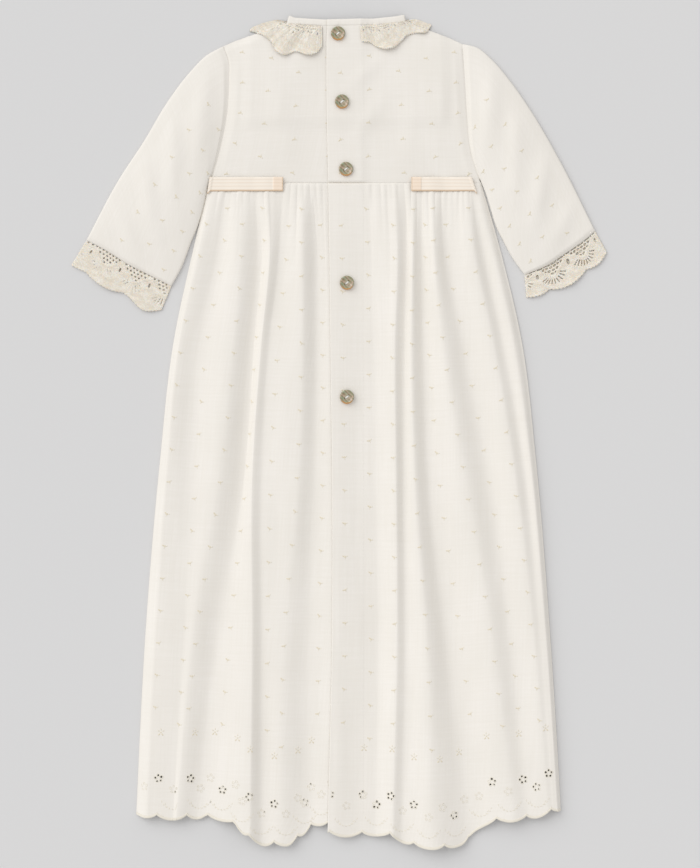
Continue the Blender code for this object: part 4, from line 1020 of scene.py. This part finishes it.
class Relief:
    # A map of the highest cloth on 1 mm squares, filled from dense samples of the sheets
    def __init__(self):
        self.low = reliefMap["low"]
        self.heights = np.zeros(reliefMap["size"])

    def add(self, shape):
        u, v = [g.ravel() for g in np.meshgrid(*[np.linspace(0, 1, n) for n in reliefMap["samples"]])]
        p = shape(u, v)
        cell = (np.round(p[:, 0] - self.low[0]).astype(int), np.round(p[:, 1] - self.low[1]).astype(int))
        np.maximum.at(self.heights, cell, p[:, 2])

    def at(self, x, y):
        gx, gy = x - self.low[0], y - self.low[1]
        i, j = np.floor(gx).astype(int), np.floor(gy).astype(int)
        s, t, h = gx - i, gy - j, self.heights
        return ((h[i, j] * (1 - s) + h[i + 1, j] * s) * (1 - t)
                + (h[i, j + 1] * (1 - s) + h[i + 1, j + 1] * s) * t)


relief = Relief()
for _, backShape in (*skirtBacks.values(), *bodiceBacks.values()):
    relief.add(backShape)


# Neck binding, collar frill

binding = {"wide": 5.7, "spare": 0.6, "tuck": 0.4, "sunk": 0.5, "high": 0.9, "endRound": 1.5,
           "pucker": 0.12, "shell": 0.5, "frontWide": 5.9, "frontTop": 2.5, "frontShell": 0.7}
# Where each strip starts and ends, and how much its upper edge leans out there and rises
bindingEnds = {"left": {"x": (-47.5, 16.0), "lean": (2.2, 0.0), "rise": (1.4, 0.0)},
               "right": {"x": (-11.0, 60.0), "lean": (0.0, -1.4), "rise": (0.0, 0.6)}}


def bindingShape(sheet, ends):
    # Rolled strip along the top edge: half an ellipse across, standing on the sheet's own last row
    u0 = np.linspace(0, 1, 400)
    edge = sheet(u0, np.ones_like(u0))
    xStart, xEnd = ends["x"]

    def shape(u, v):
        nearStart, nearEnd = 1 - ramp(u, 0, 0.15), ramp(u, 0.85, 1)
        x = xStart + (xEnd - xStart) * u + v * (ends["lean"][0] * nearStart + ends["lean"][1] * nearEnd)
        wide = binding["wide"] + binding["spare"] + ends["rise"][0] * nearStart + ends["rise"][1] * nearEnd
        y = np.interp(x, edge[:, 0], edge[:, 1]) - binding["tuck"] + v * wide
        level = np.interp(x, edge[:, 0], edge[:, 2])
        roll = np.sqrt(np.clip(1 - (2 * v - 1) ** 4, 0, 1))
        fromEnd = np.minimum(u, 1 - u) * (xEnd - xStart)
        rounding = np.sqrt(1 - np.clip(1 - fromEnd / binding["endRound"], 0, 1) ** 2)
        high = binding["high"] + binding["pucker"] * ripple(x, y, 2.2, 6, 61)
        return np.column_stack([x, y, level - binding["sunk"] + high * roll * (0.4 + 0.6 * rounding)])
    return shape


def frontBindingShape(u, v):
    # Flat strip inside the front neckline: two half ellipses, one within the other
    out = cloth["seam"] + v * binding["frontWide"]
    x = neck["x"] - (neck["wide"] / 2 - out) * np.cos(pi * u)
    y = neck["y"] - (neck["deep"] - out) * np.sin(pi * u)
    return np.column_stack([x, y, np.full_like(u, binding["frontTop"])])


collarLace = {"cell": 0.5, "shell": 0.5, "deep": 25.0, "long": 105.0, "air": 0.85, "pleats": 15, "pleat": 0.4,
              "crumple": 0.35, "relief": 0.7}
# Neck seam, free edge and outer side of the frill. Ruffles: share along it, height, half width as a share.
collarLeftSpec = {
    "seam": ((-15.5, 363.8), (-32.0, 365.4), (-46.5, 368.6)),
    "free": ((-15.5, 344.0), (-20.0, 339.2), (-28.6, 337.4), (-38.0, 339.8), (-50.0, 337.4), (-58.5, 342.0),
             (-62.5, 349.0), (-69.5, 356.0), (-76.0, 358.5), (-82.2, 359.4)),
    "side": ((-46.5, 368.6), (-58.0, 369.8), (-68.0, 367.6), (-75.5, 365.0), (-80.8, 361.8), (-82.2, 359.4)),
    "ruffles": ((0.17, 3.0, 0.13), (0.52, 2.6, 0.10), (0.66, 0.9, 0.03), (0.80, 1.0, 0.05)),
    "notches": (0.0, 0.36, 0.68, 1.0), "notchDeep": 1.2, "cloth": {"seed": 71, "shift": 4.0, "open": 0.55},
}
collarRightSpec = {
    "seam": ((18.7, 364.6), (38.0, 366.0), (60.5, 369.6)),
    "free": ((19.8, 348.6), (26.0, 348.8), (33.0, 344.6), (41.0, 342.6), (49.0, 344.0), (57.0, 350.0),
             (63.0, 355.2), (70.0, 357.4), (78.5, 358.0), (84.2, 363.9)),
    "side": ((60.5, 369.6), (66.0, 370.9), (72.0, 370.0), (78.5, 367.6), (83.6, 365.6), (84.2, 363.9)),
    "ruffles": ((0.05, 1.0, 0.05), (0.36, 3.0, 0.16), (0.62, 1.4, 0.06), (0.84, 1.6, 0.07)),
    "notches": (0.0, 0.14, 0.62, 1.0), "notchDeep": 1.2, "cloth": {"seed": 74, "shift": 9.0, "open": 0.55},
}


def frillShape(spec):
    # Gathered frill: a patch from the neck seam to the free edge, lobed there, on the cloth below, with
    # ruffles that are bells along it and grow towards the edge
    seam, free = spec["seam"], spec["free"]

    def shape(u, v):
        plan = coons(seam, free, (seam[0], free[0]), spec["side"], u, v)
        k, seed = collarLace, spec["cloth"]["seed"]
        out = along(free, u) - along(seam, u)
        out = out / np.linalg.norm(out, axis=1)[:, None]
        plan = plan - lobed(u, v, spec["notches"], spec["notchDeep"], k["long"])[:, None] * out
        ruffle = sum(high * np.exp(-((u - at) / wide) ** 2) for at, high, wide in spec["ruffles"])
        pleat = k["pleat"] * np.abs(np.sin(k["pleats"] * pi * u + 2 * ripple(u * 40, v, 5, 3, seed + 2)))
        crumple = k["crumple"] * ripple(plan[:, 0], plan[:, 1], 6, 6, seed + 3)
        cords = k["relief"] * laceRelief(u * k["long"], v * k["deep"], k["deep"], spec["cloth"])
        lift = k["air"] + ruffle * (0.2 + 0.8 * v) + pleat * (1 - 0.8 * v) + crumple * v + cords
        return np.column_stack([plan, relief.at(plan[:, 0], plan[:, 1]) + lift])
    return shape


frontFrill = {"ends": 0.02, "spread": 0.306, "down": 7, "deeper": 23, "lobes": 9, "lobeDeep": 3, "z": 0.55}


def frontFrillShape(u, v):
    # The hidden front of the frill, a flat lobed band round the front neckline
    k = frontFrill
    angle = pi * (k["ends"] + (1 - 2 * k["ends"]) * u)
    x = neck["x"] - neck["wide"] / 2 * (1 + v * k["spread"]) * np.cos(angle)
    y = neck["y"] - k["down"] * v - (neck["deep"] + k["deeper"] * v) * np.sin(angle)
    y = y + k["lobeDeep"] * (1 - np.abs(np.sin(k["lobes"] * pi * u)) ** 0.8) * v ** 3
    return np.column_stack([x, y, np.full_like(u, k["z"])])


def buildCollar():
    long, deep, cell = collarLace["long"], collarLace["deep"], collarLace["cell"]
    for side, sheet, spec in (("left", bodiceLeft, collarLeftSpec), ("right", bodiceRight, collarRightSpec)):
        clothPiece(f"neck_binding_back_{side}", "roll", "batiste", bindingShape(sheet, bindingEnds[side]),
                   evenSteps(160), evenSteps(12), batiste, binding["shell"])
        clothPiece(f"collar_lace_{side}", "net", "lace", frillShape(spec), evenly(long, cell),
                   evenly(deep, cell), lace, collarLace["shell"], laceHoles(long, deep, spec["cloth"]))
    clothPiece("neck_binding_front", "strip", "batiste", frontBindingShape, evenSteps(80), evenSteps(4),
               batiste, binding["frontShell"])
    clothPiece("collar_lace_front", "band", "lace", frontFrillShape, evenSteps(240), evenSteps(30), lace,
               frontFrill["z"])


buildCollar()
print("neck made")


# Ribbons and buttons

# Ends: inner x, outer x, and how far the outer end slants. The outer fold starts at shares along the ribbon,
# and the inner end is doubled up to so many mm from it.
ribbonSpec = {"lowY": 215.4, "highY": 228.2, "thick": 0.5, "foldDrop": 2.2, "dropAt": (0.955, 0.99),
              "foldHigh": 0.6, "foldAt": (0.945, 0.965), "doubled": (8.4, 9.2), "doubleHigh": 0.55,
              "air": 0.7, "flat": 12.6, "edgeDrop": 0.4, "edge": (0, 1.2), "wave": 0.08, "samples": 60,
              "stiff": 9, "ends": {"left": (-50.6, -117.8, -2.2), "right": (65.0, 121.6, 5.0)}}


def ribbonShape(side):
    # Flat strip over the ridges under it, smoothed, with a doubled inner end, and at the outer end a slanted
    # fold that comes out lower than the strip
    k = ribbonSpec
    inner, outer, slant = k["ends"][side]
    count, stiff, low = k["samples"], k["stiff"], k["lowY"]
    wide = k["highY"] - low
    x0 = np.linspace(inner, outer, count)
    under = np.max([relief.at(x0, np.full_like(x0, y)) for y in (215, 216, 218, 220, 225, 227)], axis=0)
    padded = np.pad(under, stiff // 2, mode="edge")
    ridges = np.max([padded[n:n + count] for n in range(stiff)], axis=0)
    under = np.convolve(np.pad(ridges, stiff // 2, mode="edge"), np.ones(stiff) / stiff, "valid")

    def shape(u, v):
        x = inner + (outer + slant * (1 - 2 * v) * 0.5 - inner) * u
        lower = k["foldDrop"] * ramp(u, *k["dropAt"])
        y = low - lower + (wide + lower) * v
        doubled = 1 - ramp(np.abs(x - inner), *k["doubled"])
        fold = k["doubleHigh"] * doubled + k["foldHigh"] * ramp(u, *k["foldAt"])
        curve = -k["edgeDrop"] * (1 - ramp(np.minimum(v, 1 - v) * k["flat"], *k["edge"]))
        level = np.interp(u, np.linspace(0, 1, count), under)
        wavy = k["wave"] * ripple(x, y, 9, 9, 81)
        return np.column_stack([x, y, level + k["air"] + fold + curve + wavy])
    return shape


buttonSpec = {"wide": 12.8, "thick": 2.2, "hole": 0.95, "apart": 3.6, "turn": 0.7, "face": 0.60,
              "places": ((-1.1, 357.0), (2.5, 295.7), (6.1, 235.3), (7.0, 132.8), (7.0, 30.2))}
# Share of the radius and of the thickness, from the middle of the face over the rim to the middle of the back
buttonProfile = ((0.0, 0.60), (0.25, 0.60), (0.5, 0.62), (0.62, 0.68), (0.72, 0.86), (0.80, 0.97),
                 (0.87, 1.0), (0.93, 0.95), (0.98, 0.78), (1.0, 0.52), (0.98, 0.28), (0.9, 0.06), (0.6, 0.0),
                 (0.0, 0.0))


def buttonShape(x, y, base):
    # Turned disc: the profile spun round, with two round pits sunk through its face
    outline = np.array(buttonProfile)
    turn, apart = buttonSpec["turn"], buttonSpec["apart"] / 2

    def shape(u, v):
        at = v * (len(outline) - 1)
        r, z = [np.interp(at, np.arange(len(outline)), column) for column in outline.T]
        r, z = r * buttonSpec["wide"] / 2, z * buttonSpec["thick"]
        p, q = r * np.cos(2 * pi * u), r * np.sin(2 * pi * u)
        for side in (-1, 1):
            away = np.hypot(p - side * apart * np.cos(turn), q - side * apart * np.sin(turn))
            pit = 1 - ramp(away, buttonSpec["hole"] * 0.8, buttonSpec["hole"] * 1.2)
            z = np.where(v < 0.5, z - pit * buttonSpec["thick"] * 0.5, z)
        return np.column_stack([x + p, y + q, base + z])
    return shape


def buildButtons():
    # Rows are finer over the face, where the pits are. Gives where the threads go.
    steps = len(buttonProfile) - 1
    at = np.concatenate([np.linspace(0, 2, 22), np.arange(steps + 1), np.arange(3, 10, 0.5)])
    rows = np.unique(at / steps)
    ring = np.linspace(0, 2 * pi, 16)
    threads = []
    for k, (x, y) in enumerate(buttonSpec["places"]):
        base = relief.at(x + 5 * np.cos(ring), y + 5 * np.sin(ring)).max() + 0.15
        node = f"button_{k + 1}"
        made, _ = gridPiece(f"{node}_pearl", buttonShape(x, y, base), evenSteps(48), rows, pearl, 0,
                            closed=True)
        co = np.zeros(len(made.data.vertices) * 3)
        made.data.vertices.foreach_get("co", co)
        loop = np.zeros(len(made.data.loops), int)
        made.data.loops.foreach_get("vertex_index", loop)
        centred = (co.reshape(-1, 3)[loop, :2] / mm - (x, y)) / (buttonSpec["wide"] / 2)
        made.data.uv_layers["cloth"].data.foreach_set("uv", centred.astype(np.float32).ravel())
        keepPiece(node, made, None, [node])
        threads.append((x, y, base + buttonSpec["face"] * buttonSpec["thick"]))
    return threads


threadSpec = {"strands": (-0.45, -0.15, 0.15, 0.45), "half": 0.17, "high": 0.16, "arch": 0.55, "sunk": 0.35}


def threadBars(places):
    # Four strands from hole to hole: half-round bars, arched over the button's face
    k, cos, sin = threadSpec, np.cos(buttonSpec["turn"]), np.sin(buttonSpec["turn"])
    wide, long = 6, 9
    u, v = [g.ravel() for g in np.meshgrid(np.linspace(0, 1, long), np.linspace(0, 1, wide))]
    quads = np.stack(corners4(np.arange(wide * long).reshape(wide, long)), axis=2).reshape(-1, 4)[:, ::-1]
    points = []
    for x, y, z in places:
        for strand in k["strands"]:
            run, side = (2 * u - 1) * buttonSpec["apart"] / 2, strand + k["half"] * np.cos(pi * v)
            arch = k["arch"] * np.sqrt(np.clip(1 - (2 * u - 1) ** 4, 0, 1)) - k["sunk"]
            points.append(np.column_stack([x + run * cos - side * sin, y + run * sin + side * cos,
                                           z + k["high"] * np.sin(pi * v) + arch]))
    faces = np.concatenate([quads + n * wide * long for n in range(len(points))])
    return makeObject("button_thread", np.concatenate(points), faces, [whiteThread])


def buildRibbonsAndButtons():
    for side in ("left", "right"):
        clothPiece(f"ribbon_{side}", "satin", "ribbon", ribbonShape(side), evenSteps(120), evenSteps(24),
                   ribbonSatin, ribbonSpec["thick"])
    keepPiece("threads", threadBars(buildButtons()), None, ())


buildRibbonsAndButtons()
print("ribbons and buttons made")


# Embroidery and sewing

sprig = {"everyAcross": 29.0, "everyDown": 30.0, "shift": 0.3, "seed": 91}
# A field's length in mm, its clear sides and ends as shares, how far its sprigs turn, and its own shift in mm
sprigFields = {
    "skirt": {"long": 588.0, "margin": 0.02, "from": 0.035, "to": 0.86, "turn": 0.5, "aside": 0},
    "bodice": {"long": 142.0, "margin": 0.04, "from": 0.035, "to": 0.93, "turn": 0.4, "aside": 0},
    "sleeve": {"long": 190.0, "margin": 0.07, "from": 0.03, "to": 0.95, "turn": 0.6, "aside": 8, "wide": 110},
}
placket = {"x": 21.5, "from": 0.012, "to": 0.97, "every": 2.9, "stitch": 2.1}
border = {"leafDrop": 16.0, "sprayRise": 42.0}  # from the low and from the high flowers
lobeArcs = ((7.5, 7, 1.5), (11.0, 9, 1.35))  # radius, leaves, half a leaf's length
sprigMotif = satinOvals(((0, 0.1, 1.3, 1.1, 0.0, 0.22, 1), (-1.6, -0.4, 1.2, 0.8, 0.35, 0.2, 1),
                         (1.6, -0.4, 1.2, 0.8, -0.35, 0.2, 0), (0, 1.6, 0.9, 0.6, 1.57, 0.18, 0)))
sprayMotif = satinOvals(((0, 0, 0.9, 0.8, 0.0, 0.3, 1), (-2.1, -1.3, 1.4, 0.8, 0.6, 0.28, 0),
                         (2.1, -1.3, 1.4, 0.8, -0.6, 0.28, 0), (-1.5, 1.9, 1.4, 0.8, -0.8, 0.28, 1),
                         (1.5, 1.9, 1.4, 0.8, 0.8, 0.28, 1), (0, -2.8, 1.4, 0.7, 1.57, 0.28, 0)))


def lobeLeaves():
    # Two arcs of leaves inside a scallop, following its edge
    return satinOvals([(r * np.sin(angle), r * np.cos(angle) - r, long, 0.5, 0.35 - angle, 0.22, 0)
                       for r, count, long in lobeArcs for angle in 1.15 * np.linspace(-1, 1, count)])


def halfDrop(wide, long):
    # Half-drop repeat: columns of places, each second column half a step lower
    across, down = [np.arange(int(size / sprig[step]) + 1)
                    for size, step in ((wide, "everyAcross"), (long, "everyDown"))]
    a, b = [g.ravel() for g in np.meshgrid(across, down)]
    return (a + 0.5) * sprig["everyAcross"], (b + 0.5 * (a % 2) + sprig["shift"]) * sprig["everyDown"]


def sprigPlaces(wide, field):
    # Shares of a field's places, from its width in mm
    a, b = halfDrop(wide, field["long"])
    u, v = (a - field["aside"]) / wide, b / field["long"]
    inside = (u > field["margin"]) & (u < 1 - field["margin"]) & (v > field["from"]) & (v < field["to"])
    return np.stack([u[inside], v[inside]], axis=1)


def hemBorder(name, sheet, shape):
    # Satin-stitched edge: a half-round bead along the scallops, with a stitch's ridges across it

    def bead(u, v):
        at = np.clip(1 - (hem["bead"] * v - hem["overhang"]) / sheet.long, 0, 1)
        ridge = hem["ridge"] * np.sin(2 * pi * u * sheet.spec["wide"] / hem["stitch"])
        high = hem["beadLift"] + (hem["beadHigh"] + ridge) * np.sqrt(np.clip(1 - (2 * v - 1) ** 2, 0, 1))
        points = shape(u, at) + normalAt(sheet, u, np.clip(at, 0, 0.999)) * high[:, None]
        points[:, 1] -= np.clip(hem["overhang"] - hem["bead"] * v, 0, 1)
        return points
    made, _ = gridPiece(name, bead, evenly(sheet.spec["wide"], hem["beadCell"]), evenSteps(6), creamThread,
                        hem["beadHigh"])
    return made


def placketRow(name, sheet, shape, long):
    # Row of single stitches down the button stand, at the same x on the cloth all along
    v = np.arange(placket["from"], placket["to"], placket["every"] / long)
    u = np.linspace(0, 1, 900)
    at = [np.interp(placket["x"], sheet.rule(sheet.lineX, u, np.full_like(u, down)), u) for down in v]
    stitch = satinOvals(((0, 0, placket["stitch"] / 2, 0.2, pi / 2, 0.16, 0),))
    return stitchOnto(name, shape, np.stack([at, v], axis=1), stitch, [whiteThread])


def scatterSprigs(rng, name, shape, places, turn):
    # Sprigs at their places, each turned a little
    turns = rng.uniform(-turn, turn, len(places))
    made = stitchOnto(f"{name}_sprigs", shape, places, sprigMotif, [creamThread, sprigThread], turns)
    keepPiece(f"{name}_sprigs", made)


def buildHemWork(name, sheet, shape):
    # Leaf arcs in the lobes, sprays above the flowers, and the stitched edge
    flowers = flowerPlaces(sheet)
    high, low = sorted((flowers[0::2], flowers[1::2]), key=lambda row: row[0, 1])
    leaves, sprays = low + (0, border["leafDrop"] / sheet.long), high - (0, border["sprayRise"] / sheet.long)
    for kind, motif, places, margin, finishes in (
            ("leaf_arcs", lobeLeaves(), leaves, 0.05, [creamThread]),
            ("sprays", sprayMotif, sprays, 0.03, [creamThread, sprigThread])):
        places = places[(places[:, 0] > margin) & (places[:, 0] < 1 - margin)]
        keepPiece(f"{name}_{kind}", stitchOnto(f"{name}_{kind}", shape, places, motif, finishes))
    keepPiece(f"{name}_border", hemBorder(f"{name}_scallop_stitching", sheet, shape))


def buildEmbroidery():
    rng = np.random.default_rng(sprig["seed"])
    for part, backs in (("skirt", skirtBacks), ("bodice", bodiceBacks)):
        field = sprigFields[part]
        for name, (sheet, shape) in backs.items():
            scatterSprigs(rng, name, shape, sprigPlaces(sheet.spec["wide"], field), field["turn"])
            if part == "skirt":
                buildHemWork(name, sheet, shape)
    field = sprigFields["sleeve"]
    for side, spec in sleeveSpecs.items():
        places = sprigPlaces(field["wide"], field)
        # A share across the flattened tube becomes a share round it
        places[:, 0] = np.arccos(1 - 2 * places[:, 0]) / (2 * pi)
        scatterSprigs(rng, f"sleeve_{side}", sleeveShape(spec), places, field["turn"])
    for name, back, grid in (("skirt", skirtBacks["skirt_back_right"], skirtGrid),
                             ("bodice", bodiceBacks["bodice_back_right"], bodiceGrid)):
        keepPiece(f"{name}_placket_stitches", placketRow(f"{name}_placket_stitches", *back, grid["long"]))


buildEmbroidery()
print("embroidery made")


# What each cloth piece was cut from: its flat area, no more than its box, reckoned and not kept

def declareCloth():
    for name, (made, flat) in pieces.items():
        if flat is None or flat["length"] < 0.01:  # the neck binding is narrower than a sheet may be
            continue
        box = flat["width"] * flat["length"]
        float(min(flat["area"], box))


declareCloth()


# Floor, light and camera

studio = {"floor": "#D8D8D8", "floorZ": -0.1, "floorHalf": 3000.0, "sky": "#FBFAFA", "world": 0.79,
          "key": 1.25, "keyFrom": (-0.62, 0.5, 0.62), "keySpread": 0.9}
view = {"middle": (9.7, -3.15), "high": 781.2, "lens": 100.0, "sensor": 36.0, "clothZ": 5.0}


def buildFloor():
    # Matt paper backdrop: pale neutral grey with a faint grain
    made, tree, shader = newMaterial("matt paper backdrop", {"Roughness": 0.95, "Specular IOR Level": 0.1})
    speck, = grains(tree, addNode(tree, "TexCoord", out="Object"), ((2.0, 2.0),), 2.0)
    tone = linear(studio["floor"])
    dark = tuple(0.985 * c for c in tone[:3]) + (1.0,)
    tree.links.new(addNode(tree, "Mix", {0: speck, 6: dark, 7: tone}, **rgba), shader.inputs["Base Color"])
    far, z = studio["floorHalf"], studio["floorZ"]
    corners = np.array(((-far, -far, z), (far, -far, z), (far, far, z), (-far, far, z)))
    makeObject("floor", corners, [(0, 1, 2, 3)], [made])


def softSun(name, strength, comesFrom, spread):
    # Large far softbox: a sun lamp as wide as spread, in radians, so that the light is even over the cloth
    lamp = bpy.data.lights.new(name, "SUN")
    lamp.energy, lamp.angle = strength, spread
    made = bpy.data.objects.new(name, lamp)
    made.rotation_euler = Vector(comesFrom).to_track_quat("Z", "Y").to_euler()
    bpy.context.scene.collection.objects.link(made)


def buildStudio():
    buildFloor()
    world = bpy.data.worlds.new("studio")
    bpy.context.scene.world = world
    world.use_nodes = True
    sky = world.node_tree.nodes["Background"].inputs
    sky["Color"].default_value, sky["Strength"].default_value = linear(studio["sky"]), studio["world"]
    bpy.context.scene.view_settings.view_transform = "Standard"  # plain colours, as in a product photograph
    softSun("key softbox", studio["key"], studio["keyFrom"], studio["keySpread"])
    camera = bpy.data.cameras.new("camera")
    camera.lens, camera.sensor_fit, camera.sensor_height = view["lens"], "VERTICAL", view["sensor"]
    away = view["high"] * view["lens"] / view["sensor"]
    made = bpy.data.objects.new("camera", camera)
    made.location = (view["middle"][0] * mm, view["middle"][1] * mm, (away + view["clothZ"]) * mm)
    bpy.context.scene.collection.objects.link(made)
    bpy.context.scene.camera = made


buildStudio()
print("scene made")
